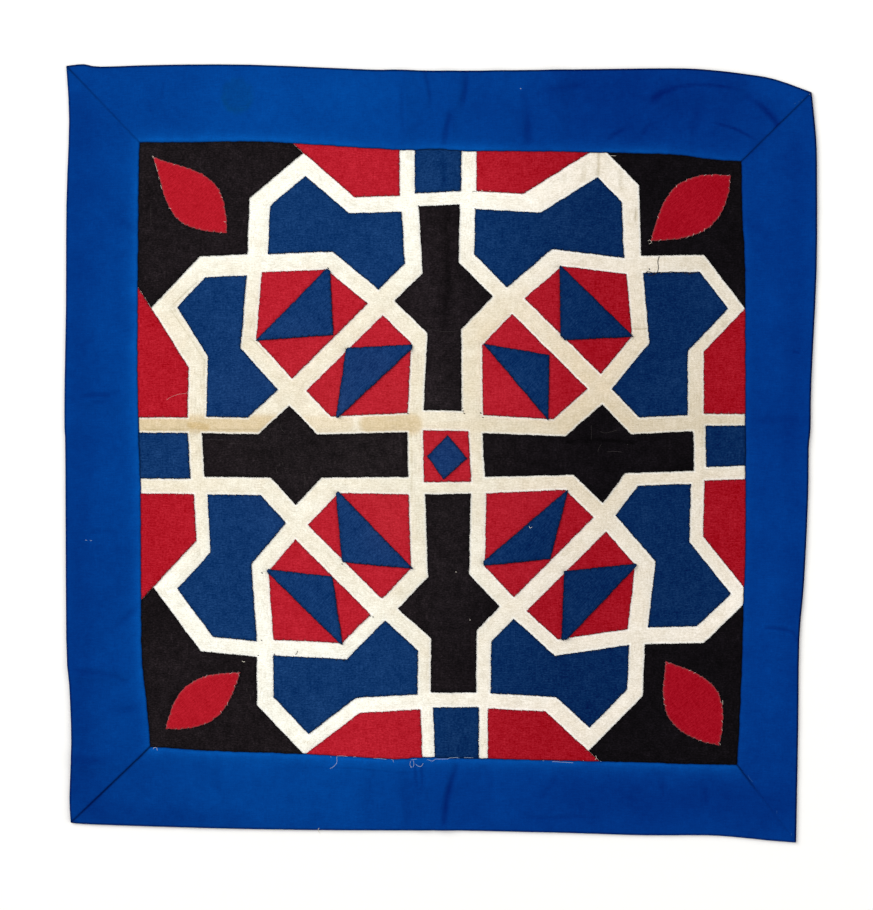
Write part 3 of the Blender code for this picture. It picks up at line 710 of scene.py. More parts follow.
    def build(self):
        """The closed mesh of the piece, as an object."""
        face_places = self.face_places()
        under_places = self.ring_places(UNDER_RINGS), self.inner_places(UNDER_PITCH, 3.0)
        under_places = np.concatenate(under_places)
        edge_count, shift = len(self.outline), len(face_places)
        face, under = self.triangles(face_places), self.triangles(under_places)
        under = [[c if c < edge_count else c + shift for c in triangle[::-1]] for triangle in under]
        places = np.concatenate((self.outline, face_places, under_places))
        near = outline_distances(places, self.outline)
        near[:edge_count] = 0.0
        on_face = edge_count + shift
        heights = np.concatenate((self.face_heights(places[:on_face], near[:on_face]),
                                  self.under_heights(under_places, near[on_face:])))
        verts = np.concatenate((places, heights[:, None]), axis=1)
        mesh = smooth_mesh(PIECE_PREFIX + self.node, verts, face + under)
        self.add_attributes(mesh, places, near)
        mesh.materials.append(material(self.cloth))
        stop_at_strays(mesh)
        return placed(mesh.name, mesh)

    def add_attributes(self, mesh, places, near):
        """What the materials read: distances from the edge, the weave's own directions, and tones."""
        turn = np.array(((math.cos(self.grain), -math.sin(self.grain)),
                         (math.sin(self.grain), math.cos(self.grain))))
        shift = np.array((random.Random(self.node).uniform(0, 40), 0.0))
        own = np.concatenate((places @ turn + shift, np.zeros((len(places), 1))), axis=1)
        add_attribute(mesh, "grain", own)
        add_attribute(mesh, "edge", near)
        add_attribute(mesh, "tone", tone_at(places))
        add_attribute(mesh, "worn", worn_at(places))
        add_attribute(mesh, "light", self.light_at(places))
        self.add_more(mesh, places)

    def light_at(self, places):
        """How much lighter or darker than its dye the cloth is: patches that have lost more or less
        colour, spots, partly painted light and shade of folds, and the painted shade of creases.
        """
        light = np.full(len(places), FADED_PATCHES.get(self.node, 1.0))
        for start, end, reach, change in SPOTS.get(self.cloth, ()):
            light = light * (1.0 + change * bell(photo_distance(places, start, end) / reach))
        for crease in self.creases:
            light = light * crease.darkens(places)
        return light

    def add_more(self, mesh, places):
        """Attributes that only some pieces have."""


class Ground(Cloth):
    """The off-white ground panel, whose straps swell between the patches."""

    # How far from the patches the close points of the straps start, and how far under them the wide ones
    CLOSE_FROM, WIDE_FROM = 1.0, -1.5

    # The lines of points beside the patches' edges, less than 0 under the patch, how far they stay from
    # the panel's edge, and the least and the most that they may be from the patches' edges
    BESIDE, BESIDE_MARGIN, BESIDE_REACH = (-0.3, 0.15, 0.6), 0.4, (0.1, 0.75)

    # How far from a patch a strap is at its full height, and how high it swells there
    SWELLS_OVER, SWELL = 3.6, 0.32

    # The fine lines along the straps: how far each runs from the patches, their depth and half width
    LINES, LINE_DEPTH, LINE_WIDTH = {"line_a": 2.4, "line_b": 4.2}, 0.14, 0.8

    # How far the points of the straps stay from the panel's edge, and those at creases, in mm
    PANEL_MARGIN, CREASE_MARGIN = 0.25, 1.0

    def build(self):
        self.creases = [crease for crease in self.creases
                        if not any(mostly_inside(crease.route, patch.outline) for patch in patches)]
        return super().build()

    def face_places(self):
        low, high = self.outline.min(axis=0), self.outline.max(axis=0)
        fine, coarse = lattice(low, high, STRAP_PITCH), lattice(low, high, HIDDEN_PITCH)
        fine = fine[self.strap_reach(fine) > self.CLOSE_FROM]
        coarse = coarse[self.strap_reach(coarse) < self.WIDE_FROM]
        beside = np.concatenate([p.outline - p.normals * r for p in patches for r in self.BESIDE])
        beside = well_inside(beside, self.outline, self.BESIDE_MARGIN)
        reach, (low_reach, high_reach) = self.strap_reach(beside), self.BESIDE_REACH
        beside = beside[(np.abs(reach) > low_reach) & (reach < high_reach)]
        places = np.concatenate((fine, coarse, self.ring_places(GROUND_RINGS)))
        places = well_inside(places, self.outline, self.PANEL_MARGIN)
        places = self.finer_at_creases(places, self.CREASE_MARGIN)
        return np.concatenate((places, beside))

    def strap_reach(self, places):
        """How far each place is from the nearest patch's edge, and less than 0 under a patch."""
        if not hasattr(self, "tree"):
            self.tree = tree_of(np.concatenate([p.outline for p in patches]))
        covered = np.zeros(len(places), bool)
        for patch in patches:
            low, high = patch.outline.min(axis=0), patch.outline.max(axis=0)
            close = np.flatnonzero(((places > low) & (places < high)).all(axis=1))
            if len(close):
                covered[close[inside(places[close], patch.outline)]] = True
        reach = nearest(self.tree, places)[1]
        return np.where(covered, -reach, reach)

    def face_heights(self, places, near):
        reach = self.strap_reach(places)
        swell = smooth_step(np.clip(reach, 0.0, None) / self.SWELLS_OVER)
        full = self.shape["face"] + swell * (self.SWELL + uneven("strap", places)
                                             + uneven("strap_fine", places))
        for line, middle in self.LINES.items():
            aside = reach - middle + uneven(line, places)
            depth = np.clip(uneven(line + "_depth", places), 0.0, 1.0)
            full = full - self.LINE_DEPTH * bell(aside / self.LINE_WIDTH) * depth
        return self.rolled(full - self.creased(places), near) + fold_heights(places)

    def add_more(self, mesh, places):
        add_attribute(mesh, "strap", np.clip(self.strap_reach(places), 0.0, 20.0))
        add_attribute(mesh, "soil", soil_at(places))


class Border(Cloth):
    """A border strip: folded over outside, puffed beside the panel, and mitred at its ends."""

    # The puff beside the panel: its height, how far it is from the panel's edge, and its half width
    PUFF = (0.32, 2.4, 2.6)

    # The rolled edges: their outermost line's height, and the width that they roll over
    ROLLS = {"panel": (1.5, 1.5), "strip": (2.05, 0.6), "outside": (1.2, 1.3)}

    # How high the underside rises at its edge, how far the unevenness beside the panel fades, and the
    # least and the most that a mitre's seam sinks
    UNDER_RISE, SEAM_FADE, GROOVE = 1.2, 5.0, (0.15, 1.0)

    def edge_kinds(self, middles):
        """Whether each stretch of the edge lies by the panel, by another strip, or outside."""
        kinds = np.full(len(middles), "outside", dtype="<U8")
        for side in SIDES:
            if "border_" + side != self.node:
                beside = divided(outlines["border_" + side], EDGE_PITCH)
                kinds[outline_distances(middles, beside) < LIES_WITHIN] = "strip"
        kinds[outline_distances(middles, panel_edge) < LIES_WITHIN] = "panel"
        return kinds

    def reaches(self, places):
        """How far each place is from the edge's stretches of each kind."""
        ends = np.roll(self.outline, -1, axis=0)
        return {kind: distances(places, self.outline[self.kinds == kind], ends[self.kinds == kind])
                for kind in self.ROLLS}

    def face_heights(self, places, near):
        reaches = self.reaches(places)
        height, middle, width = self.PUFF
        full = (self.shape["face"] + height * bell((reaches["panel"] - middle) / width)
                + uneven("border", places)
                + uneven("border_seam", places) * np.exp(-reaches["panel"] / self.SEAM_FADE))
        full = full - self.creased(places)
        depths = {"strip": np.clip(mitre_shade(places), *self.GROOVE)}
        drops = [(full - brink) * (1.0 - self.rounded(reaches[kind] / roll)) * depths.get(kind, 1.0)
                 for kind, (brink, roll) in self.ROLLS.items()]
        return full - np.maximum.reduce(drops) + fold_heights(places)

    def under_heights(self, places, near):
        return fold_heights(places) + self.UNDER_RISE * (1.0 - self.roll(near))

    def add_more(self, mesh, places):
        """The bright stretch beside the panel, partly wear and partly painted highlight, and the painted
        shade of the outer line and the mitres.
        """
        side = self.node.split("_")[1]
        look = dict(zip(BORDER_COLUMNS, BORDER_LOOKS[side]))
        reaches = self.reaches(places)
        # The band beside the panel: partly worn cloth, partly a painted highlight on the puff there
        ramp = np.exp(-np.clip(reaches["panel"] - 1.5, 0.0, None) / look["band_reach"])
        starts, strengths = zip(*look["band"])
        axis = 0 if side in ("top", "bottom") else 1
        pixels = (places[:, axis] - PATTERN_MIDDLE[axis]) * (1 - 2 * axis) / PIXEL + PATTERN_PIXEL[axis]
        band = ramp * np.interp(pixels, starts, strengths) * (1.0 + uneven("band", places))
        add_attribute(mesh, "band", band)
        # The rim: painted shade along the outer edge where the cloth turns under
        add_attribute(mesh, "rim", look["rim"] * smooth_step(1.6 - reaches["outside"]))
        # The seam: painted shade in the mitres' seams and along the seam by the panel
        mitre = smooth_step(1.3 - reaches["strip"] / 0.85) * mitre_shade(places)
        seam = smooth_step(1.2 - reaches["panel"] / 0.5)
        add_attribute(mesh, "seam", np.maximum(0.6 * mitre, 0.8 * seam))
        add_attribute(mesh, "ring", ring_stain(places))


def placed(name, data):
    """A new object that the scene holds."""
    item = bpy.data.objects.new(name, data)
    bpy.context.scene.collection.objects.link(item)
    return item


def smooth_mesh(name, verts, faces):
    """A smooth mesh, in metres, from vertices in mm."""
    mesh = bpy.data.meshes.new(name)
    mesh.from_pydata((verts * MM).tolist(), [], faces)
    mesh.polygons.foreach_set("use_smooth", [True] * len(mesh.polygons))
    return mesh


def add_attribute(mesh, name, values):
    """A value or a place for each vertex that the materials read."""
    kind, field = ("FLOAT_VECTOR", "vector") if np.ndim(values) == 2 else ("FLOAT", "value")
    attribute = mesh.attributes.new(name, kind, "POINT")
    attribute.data.foreach_set(field, np.ascontiguousarray(values, np.float32).ravel())


def stop_at_strays(mesh):
    """Stop where a mesh has a vertex that no face uses."""
    used = np.zeros(len(mesh.vertices), bool)
    corners = np.zeros(len(mesh.loops), np.int32)
    mesh.loops.foreach_get("vertex_index", corners)
    used[corners] = True
    if not used.all():
        raise ValueError(mesh.name + " has points that no face uses")


# Colour over the cloth

# Patches that have faded more or less than the rest of their cloth
FADED_PATCHES = {
    "arm_top": 1.05,
    "arm_left": 1.05,
    "arm_bottom": 1.08,
}

# Lighter and darker places of each cloth: the ends of the place on the photograph, its reach in mm, and
# the change. On the border and along the black arms' middle fold they are painted light and shade of the
# folds; elsewhere they only make the cloth lighter or darker there
SPOTS = {
    "royal_blue": (
        ((235, 95), (365, 95), 24.0, 0.16),
        ((575, 100), (730, 100), 24.0, -0.14),
        ((626, 85), (626, 138), 11.0, -0.05),
        ((530, 80), (535, 90), 12.0, 0.04),
        ((765, 92), (790, 96), 12.0, 0.1),
        ((235, 790), (340, 790), 26.0, 0.13),
        ((380, 812), (480, 814), 8.0, -0.04),
        ((580, 800), (780, 805), 14.0, -0.13),
        ((100, 815), (230, 818), 9.0, -0.12),
        ((70, 805), (95, 805), 14.0, -0.1),
        ((78, 110), (78, 780), 9.0, -0.12),
        ((100, 120), (100, 230), 9.0, -0.05),
        ((88, 600), (95, 780), 16.0, -0.05),
        ((125, 560), (125, 590), 12.0, -0.06),
        ((130, 600), (130, 690), 6.0, 0.05),
        ((774, 520), (770, 690), 20.0, 0.05),
        ((795, 150), (792, 760), 6.0, -0.07),
        ((791, 425), (791, 437), 8.0, -0.1),
    ),
    "black": (
        ((447, 240), (447, 320), 20.0, 0.1),
        ((447, 560), (447, 640), 20.0, 0.08),
        ((445, 158), (445, 330), 3.0, -0.3),
        ((425, 210), (428, 400), 9.0, 0.3),
        ((475, 250), (475, 330), 10.0, -0.12),
        ((685, 470), (700, 470), 8.0, -0.3),
        ((160, 585), (170, 600), 18.0, -0.3),
    ),
    "red": (
        ((530, 290), (530, 570), 32.0, 0.07),
        ((160, 310), (165, 565), 28.0, -0.1),
    ),
    "navy": (
        ((540, 690), (640, 690), 16.0, -0.08),
    ),
    "off_white": (
        ((700, 250), (710, 420), 30.0, -0.09),
        ((610, 300), (640, 420), 26.0, -0.03),
        ((730, 580), (730, 660), 20.0, 0.08),
        ((490, 420), (740, 425), 16.0, -0.08),
        ((400, 492), (490, 492), 18.0, -0.05),
        ((330, 416), (350, 416), 14.0, 0.05),
        ((610, 490), (700, 560), 28.0, -0.07),
        ((400, 560), (560, 560), 26.0, -0.03),
        ((470, 190), (570, 190), 14.0, 0.05),
        ((340, 712), (620, 712), 14.0, 0.05),
    ),
}

# The border's dark outer line, painted shade where its edge turns under, how far the bright line beside
# the panel, partly wear and partly a painted highlight, reaches in mm, and how bright that line is at
# some pixels along the strip on the photograph
BORDER_COLUMNS = ("rim", "band_reach", "band")
BORDER_LOOKS = {
    "top": (0.9, 2.6, ((150, 1.1), (300, 1.1), (350, 0.7), (400, 0.6), (430, 0.85), (480, 0.85),
                       (520, 0.4), (590, 0.45), (620, 0.7), (650, 0.7), (680, 0.4), (740, 0.3))),
    "right": (1.0, 2.0, ((150, 0.1), (420, 0.15), (740, 0.1))),
    "bottom": (0.45, 3.2, ((150, 0.9), (400, 0.9), (520, 0.8), (640, 0.7), (740, 0.6))),
    "left": (0.6, 2.6, ((150, 0.8), (210, 1.05), (450, 1.05), (530, 0.7), (610, 0.9), (690, 0.8),
                        (740, 0.6))),
}

# The seams of the mitres: the inner and the outer end on the photograph, and how dark the painted shade
# in the seam is at some shares of the way out
MITRES = (
    ((152, 150), (66, 70), ((0.0, 0.42), (0.6, 0.42), (0.85, 0.6), (1.0, 1.1))),
    ((742, 161), (815, 88), ((0.0, 0.9), (1.0, 1.0))),
    ((150, 748), (70, 822), ((0.0, 1.5), (0.6, 1.5), (1.0, 0.9))),
    ((742, 765), (805, 838), ((0.0, 1.0), (0.2, 0.8), (0.35, 0.15), (1.0, 0.1))),
)


def mitre_shade(places):
    """How dark the painted shade in the nearest mitre's seam is at each place."""
    reach, shade = np.full(len(places), np.inf), np.zeros(len(places))
    for inner, outer, stations in MITRES:
        inner, outer = on_photo(*inner), on_photo(*outer)
        shares, strengths = zip(*stations)
        share = (places - inner) @ (outer - inner) / np.sum((outer - inner) ** 2)
        near = stretch_distance(places, inner, outer)
        shade = np.where(near < reach, np.interp(share, shares, strengths), shade)
        reach = np.minimum(near, reach)
    return shade


def ring_stain(places):
    """The faint stain that a drop has left on the top border, with its darker rim at the lower left."""
    middle, half = on_photo(238, 95), np.array((15.0, 17.0)) * PIXEL
    way = (places - middle) / half + uneven("ring", places)[:, None]
    reach = np.linalg.norm(way, axis=1)
    low_left = np.clip(0.5 - way @ np.array((0.35, 0.6)) / np.maximum(reach, 0.01), 0.0, 1.0)
    line = 0.55 * low_left * bell((reach - 0.95) / 0.12)
    return line + 0.5 * smooth_step((1.08 - reach) / 0.12)


def tone_at(places):
    """From 0 at the paler left to 1 at the right: partly fading dye, partly painted light that is
    brighter on the left.
    """
    way = places[:, 0] + 30.0 + 0.18 * np.clip(-places[:, 1], 0.0, None)
    return np.clip(smooth_step(way / 130.0) + uneven("tone", places), 0.0, 1.0)


# The most worn place: its ends on the photograph, its reach in mm, the strength
MOST_WORN = ((340, 430), (410, 470), 55.0, 0.9)


def worn_at(places):
    """How worn the cloth is, most left of the middle."""
    start, end, reach, strength = MOST_WORN
    near = photo_distance(places, start, end)
    return np.clip(bell(near / reach) * (strength + uneven("worn", places)), 0.0, 1.0)


# Where the ground is stained: the ends of the place on the photograph, half width in mm, strength
STAINS = {
    "level_band": ((140, 424), (275, 424), 7.0, 0.8),
    "level_band_end": ((275, 424), (345, 424), 7.0, 0.6),
    "left_of_middle": ((370, 424), (412, 424), 8.0, 0.8),
    "left_crossing": ((190, 425), (207, 427), 3.4, 0.95),
    "crossing": ((440, 428), (485, 426), 6.0, 0.45),
    "right_band": ((600, 425), (740, 425), 7.0, 0.25),
}

# Where the ground has yellowed with age: the ends of the place on the photograph, its reach in mm, the
# strength, and how far all of the ground has
YELLOWED = {
    "all_through": ((150, 425), (560, 425), 50.0, 0.32),
    "right": ((640, 400), (745, 400), 45.0, 0.16),
    "upper": ((178, 315), (480, 330), 34.0, 0.24),
    "upper_right": ((520, 330), (590, 330), 28.0, 0.16),
    "left_low": ((170, 500), (330, 560), 32.0, 0.14),
    "middle_low": ((415, 560), (440, 640), 34.0, 0.22),
}
YELLOWED_ALL = 0.04


def soil_at(places):
    """How far the ground is stained, from 0 to 1."""
    soil = YELLOWED_ALL + uneven("soil", places) + uneven("soil_fine", places)
    for start, end, reach, strength in YELLOWED.values():
        soil = soil + strength * bell(photo_distance(places, start, end) / reach)
    for start, end, half_width, strength in STAINS.values():
        near = photo_distance(places, start, end)
        soil = np.maximum(soil, strength * smooth_step(1.4 - near / half_width))
    return np.clip(soil, 0.0, 1.0)


# Materials

# Each cloth: its colour where the dye has kept, at the paler left, where fading and painted light from
# the left are put together, and where it is worn, the spacing of its threads in mm, how far streaks,
# specks, blotches and clouds change its shade, what a change of shade adds to the colour, how dark and
# how wide the painted shade along its turned edge is, and its sheen
CLOTH_COLUMNS = ("colour", "faded", "worn", "thread", "streaks", "specks", "blotches", "clouds", "tint",
                 "edge_shade", "edge_reach", "sheen")
CLOTHS = {
    "off_white": ((0.82, 0.76, 0.66), (0.965, 0.96, 0.86), (0.965, 0.96, 0.86),
                  0.62, 0.14, 0.27, 0.09, 0.05, (0.0, 0.05, 0.2), 0.0, 0.5, 0.05),
    "royal_blue": ((0.0003, 0.034, 0.221), (0.0003, 0.0412, 0.240), (0.0003, 0.043, 0.245),
                   0.45, 0.12, 0.15, 0.08, 0.12, (0.0, 0.026, 0.02), 0.0, 0.35, 0.0),
    "navy": ((0.0014, 0.0195, 0.088), (0.0042, 0.0335, 0.132), (0.0105, 0.0380, 0.138),
             0.5, 0.28, 0.6, 0.18, 0.18, (0.014, 0.022, 0.0), 0.85, 0.45, 0.02),
    "red": ((0.322, 0.0045, 0.0125), (0.445, 0.0118, 0.0240), (0.455, 0.0165, 0.0275),
            0.5, 0.22, 0.4, 0.11, 0.07, (0.0, 0.03, 0.042), 0.6, 0.35, 0.02),
    "red_leaf": ((0.322, 0.0030, 0.0120), (0.415, 0.0085, 0.0185), (0.415, 0.0085, 0.0185),
                 0.5, 0.2, 0.34, 0.07, 0.07, (0.0, 0.02, 0.03), 0.2, 0.2, 0.02),
    "black": ((0.0038, 0.0029, 0.0040), (0.0098, 0.0072, 0.0085), (0.0118, 0.0090, 0.0100),
              0.5, 0.55, 1.6, 0.6, 0.5, (0.0, 0.0, 0.0), 0.85, 0.5, 0.03),
}
# The noises of a cloth: how fast each changes along and across the grain, its detail and its roughness
NOISES = {
    "level": ((0.16, 1.8), 2.0, 0.6),
    "upright": ((1.8, 0.16), 2.0, 0.6),
    "mottle": ((0.75, 1.4), 2.0, 0.75),
    "blotches": ((0.22, 0.22), 2.0, 0.6),
    "clouds": ((0.05, 0.05), 3.0, 0.6),
    "drift": ((0.12, 0.12), 2.0, 0.5),
    "dirt": ((0.16, 0.24), 1.5, 0.5),
    "waver": ((0.14, 0.14), 2.0, 0.5),
    "gate": ((0.07, 0.07), 1.0, 0.5),
}

# The colours of marks on the cloth, and how strongly those of the border cover it, one over the other
MARK_COLOURS = {
    "soil": (0.61, 0.45, 0.22),
    "dirt": (0.58, 0.49, 0.36),
    "line": (0.42, 0.36, 0.28),
    # A painted highlight beside the patches
    "clean": (1.0, 0.995, 0.96),
    # The band: partly wear, partly a painted highlight
    "band": (0.0008, 0.072, 0.345),
    "ring": (0.0008, 0.038, 0.142),
    # Painted shade in the seams
    "seam": (0.0002, 0.004, 0.035),
    # Painted shade of the outer rim
    "rim": (0.0003, 0.0045, 0.045),
    "leaf_rim": (0.46, 0.15, 0.16),
}
BORDER_MARKS = {"band": 1.0, "ring": 0.62, "seam": 0.8, "rim": 1.0}

# The darkest that a cloth gets, how far it mirrors light, the border less, and its relief in mm
DARKEST = (0.0002, 0.0002, 0.0002)
SPECULAR = 0.03
BORDER_SPECULAR = 0.015
RELIEF = 0.09

# The materials made so far
MADE = {}


class Nodes:
    """Short calls for the nodes of one material."""

    def __init__(self, name):
        self.material = bpy.data.materials.new(name)
        self.material.use_nodes = True
        self.tree = self.material.node_tree
        self.shader = self.tree.nodes["Principled BSDF"]

    def node(self, kind, inputs, output=0, **settings):
        made = self.tree.nodes.new("ShaderNode" + kind)
        for name, value in settings.items():
            setattr(made, name, value)
        for key, value in inputs.items():
            self.set(made.inputs[key], value)
        return made.outputs[output]

    def set(self, socket, value):
        if isinstance(value, bpy.types.NodeSocket):
            self.tree.links.new(value, socket)
        else:
            socket.default_value = value

    def math(self, operation, first, second=0.0, third=0.0):
        return self.node("Math", {0: first, 1: second, 2: third}, operation=operation)

    def multiply(self, first, *others):
        for other in others:
            first = self.math("MULTIPLY", first, other)
        return first

    def shade(self, colour, factor):
        return self.node("VectorMath", {0: colour, "Scale": factor}, operation="SCALE")

    def read(self, name, output="Fac"):
        return self.node("Attribute", {}, output, attribute_name=name)

    def noise(self, name):
        """One of the noises that run with the cloth's grain."""
        pace, detail, roughness = NOISES[name]
        place = self.node("VectorMath", {0: self.read("grain", "Vector"), 1: (*pace, 0.0)},
                          operation="MULTIPLY")
        return self.node("TexNoise", {"Vector": place, "Scale": 1.0, "Detail": detail,
                                      "Roughness": roughness}, noise_dimensions="2D")

    def mix(self, factor, first, second):
        first, second = (value if isinstance(value, bpy.types.NodeSocket) else (*value, 1.0)
                         for value in (first, second))
        return self.node("Mix", {0: factor, 6: first, 7: second}, 2, data_type="RGBA")

    def mark(self, colour, name, *factors):
        """A colour with one of the marks over it, as strongly as some factors together say."""
        return self.mix(self.multiply(*factors), colour, MARK_COLOURS[name])

    def swing(self, value, spread):
        """A value from 0 to 1 turned into a factor around 1, whose logarithm swings by spread."""
        return self.math("POWER", math.exp(spread), self.math("MULTIPLY_ADD", value, 2.0, -1.0))

    def steps(self, value, low, high):
        """From 0 where a value is low to 1 where it is high."""
        return self.node("MapRange", {0: value, 1: low, 2: high}, interpolation_type="SMOOTHSTEP")

    def falloff(self, near, reach):
        """From 1 where near is 0 down to 0 well past reach."""
        return self.math("EXPONENT", self.math("DIVIDE", near, -reach))

    def surface(self, colour, roughness, specular):
        """Set what the shader shows."""
        values = {"Base Color": colour, "Roughness": roughness, "Specular IOR Level": specular}
        for name, value in values.items():
            self.set(self.shader.inputs[name], value)


def weave(nodes, thread):
    """The height of a plain weave, from 0 in the gaps to 1 on the threads."""
    waver = nodes.multiply(nodes.noise("drift"), 1.6)
    split = nodes.tree.nodes.new("ShaderNodeSeparateXYZ")
    nodes.set(split.inputs[0], nodes.read("grain", "Vector"))
    sines = []
    for axis in (0, 1):
        turned = nodes.multiply(nodes.math("ADD", split.outputs[axis], waver), math.pi / thread)
        sines.append(nodes.math("ABSOLUTE", nodes.math("SINE", turned)))
    return nodes.math("SQRT", nodes.multiply(*sines))


def with_marks(nodes, name, colour, edge):
    """The colour with the marks that only one cloth has: stains and a painted highlight by the patches on
    the ground, the border's lines with their painted light and shade, or a pale rim.
    """
    if name == "off_white":
        strap = nodes.read("strap")
        colour = nodes.mark(colour, "soil", nodes.read("soil"))
        dirt = nodes.steps(nodes.noise("dirt"), 0.42, 0.75)
        colour = nodes.mark(colour, "dirt", dirt, nodes.steps(strap, 0.6, 3.2), 0.14)
        waver, gate = nodes.noise("waver"), nodes.steps(nodes.noise("gate"), 0.44, 0.6)
        for middle in (2.2, 3.9):
            aside = nodes.math("SUBTRACT", nodes.math("MULTIPLY_ADD", waver, 4.0, strap), middle + 2.0)
            line = nodes.steps(nodes.math("ABSOLUTE", aside), 0.34, 0.0)
            colour = nodes.mark(colour, "line", line, gate, 0.22)
        # A painted highlight on the straps close beside the patches' edges
        return nodes.mark(colour, "clean", nodes.steps(strap, 1.5, 0.4), 0.6)
    if name == "royal_blue":
        for mark, strength in BORDER_MARKS.items():
            colour = nodes.mark(colour, mark, nodes.read(mark), strength)
    if name == "red_leaf":
        colour = nodes.mark(colour, "leaf_rim", nodes.falloff(edge, 0.3), 0.55)
    return colour


def material(name):
    """The material of a cloth, made once."""
    if name in MADE:
        return MADE[name]
    row = dict(zip(CLOTH_COLUMNS, CLOTHS[name]))
    nodes = Nodes(name)
    edge, threads = nodes.read("edge"), weave(nodes, row["thread"])
    swings = {"level": row["streaks"], "upright": row["streaks"] * 0.6, "mottle": row["specks"],
              "blotches": row["blotches"], "clouds": row["clouds"]}
    noises = {key: nodes.noise(key) for key in swings}
    # The light attribute brings in the painted light and shade of spots and creases, and the patches' own
    # fading
    shade = nodes.multiply(*(nodes.swing(noises[key], spread) for key, spread in swings.items()),
                           nodes.math("MULTIPLY_ADD", threads, 0.16, 0.9), nodes.read("light"))
    # The paler left colour mixes fading with painted light from the left
    colour = nodes.mix(nodes.read("worn"), row["faded"], row["worn"])
    colour = nodes.mix(nodes.read("tone"), colour, row["colour"])
    colour = nodes.shade(with_marks(nodes, name, colour, edge), shade)
    tint = nodes.shade(row["tint"], nodes.math("SUBTRACT", shade, 1.0))
    colour = nodes.node("VectorMath", {0: colour, 1: tint}, operation="ADD")
    colour = nodes.node("VectorMath", {0: colour, 1: DARKEST}, operation="MAXIMUM")
    # Painted shade along each piece's turned edge
    dark_edge = nodes.multiply(nodes.falloff(edge, row["edge_reach"]), row["edge_shade"])
    nodes.surface(nodes.shade(colour, nodes.math("SUBTRACT", 1.0, dark_edge)),
                  nodes.math("MULTIPLY_ADD", noises["mottle"], 0.12, 0.82),
                  BORDER_SPECULAR if name == "royal_blue" else SPECULAR)
    nodes.set(nodes.shader.inputs["Sheen Weight"], row["sheen"])
    nodes.set(nodes.shader.inputs["Sheen Roughness"], 0.4)
    streaks = nodes.math("ADD", noises["level"], noises["upright"])
    relief = nodes.math("MULTIPLY_ADD", streaks, 0.3, nodes.multiply(threads, 0.7))
    relief = nodes.math("MULTIPLY_ADD", noises["mottle"], 0.7, relief)
    bump = nodes.node("Bump", {"Height": relief, "Strength": 0.8, "Distance": RELIEF * MM})
    nodes.set(nodes.shader.inputs["Normal"], bump)
    MADE[name] = nodes.material
    return nodes.material


def thread_material(name):
    """A spun cotton thread, whose shade is chosen for each length of it."""
    made_name = name + "_thread"
    if made_name not in MADE:
        nodes = Nodes(made_name)
        place = nodes.node("TexCoord", {}, "Object")
        lay = nodes.node("TexNoise", {"Vector": place, "Scale": 900.0, "Detail": 2.0})
        share = nodes.math("MULTIPLY_ADD", nodes.math("SUBTRACT", lay, 0.5), 0.5, nodes.read("shade"))
        nodes.surface(nodes.mix(share, *THREADS[name]), nodes.math("MULTIPLY_ADD", lay, 0.2, 0.7), 0.1)
        MADE[made_name] = nodes.material
    return MADE[made_name]


# Threads

# The darkest and palest shade of each thread
THREADS = {
    "off_white": ((0.55, 0.48, 0.36), (0.90, 0.86, 0.76)),
    "pale_blue": ((0.20, 0.32, 0.52), (0.62, 0.72, 0.85)),
    "bright_blue": ((0.004, 0.06, 0.26), (0.05, 0.17, 0.42)),
    "navy": ((0.002, 0.010, 0.035), (0.008, 0.025, 0.08)),
    "red": ((0.20, 0.01, 0.02), (0.50, 0.09, 0.10)),
    "pink": ((0.24, 0.07, 0.08), (0.85, 0.62, 0.58)),
    "black": ((0.004, 0.004, 0.005), (0.02, 0.017, 0.02)),
    "grey": ((0.02, 0.017, 0.018), (0.085, 0.074, 0.072)),
}
TUBE_SIDES = 5

# Stitches of each cloth: thread, sideways lean, radius and reach over the edge in mm, and the share that
# shows its pale side
STITCHES = {
    "black": ("black", 0.5, 0.13, (0.8, 1.25), 0.3),
    "navy": ("navy", 0.5, 0.13, (0.8, 1.25), 0.3),
    "red": ("red", 0.5, 0.13, (0.8, 1.25), 0.35),
    "red_leaf": ("pink", 0.7, 0.09, (0.4, 0.8), 0.2),
}

# The places along a stitch, from its inner end down into the cloth below: the share of its reach and the
# mm past that, the piece's level and the mm over it, and the share of its radius
STITCH_STATIONS = (
    (1.0, 0.0, "face", -0.1, 0.5),
    (0.8, 0.0, "face", 0.1, 1.0),
    (0.3, 0.0, "face", -0.1, 1.0),
    (0.0, -0.08, "brink", 0.1, 1.0),
    (0.0, -0.4, "under", -0.1, 0.9),
    (0.0, -0.6, "under", -0.35, 0.5),
)

# From 0, dark, to 1, pale: the shades of stitches with a pale side up, of others and of loose threads
PALE_SHADES = (0.6, 1.0)
DARK_SHADES = (0.0, 0.35)
LOOSE_SHADE = 0.6

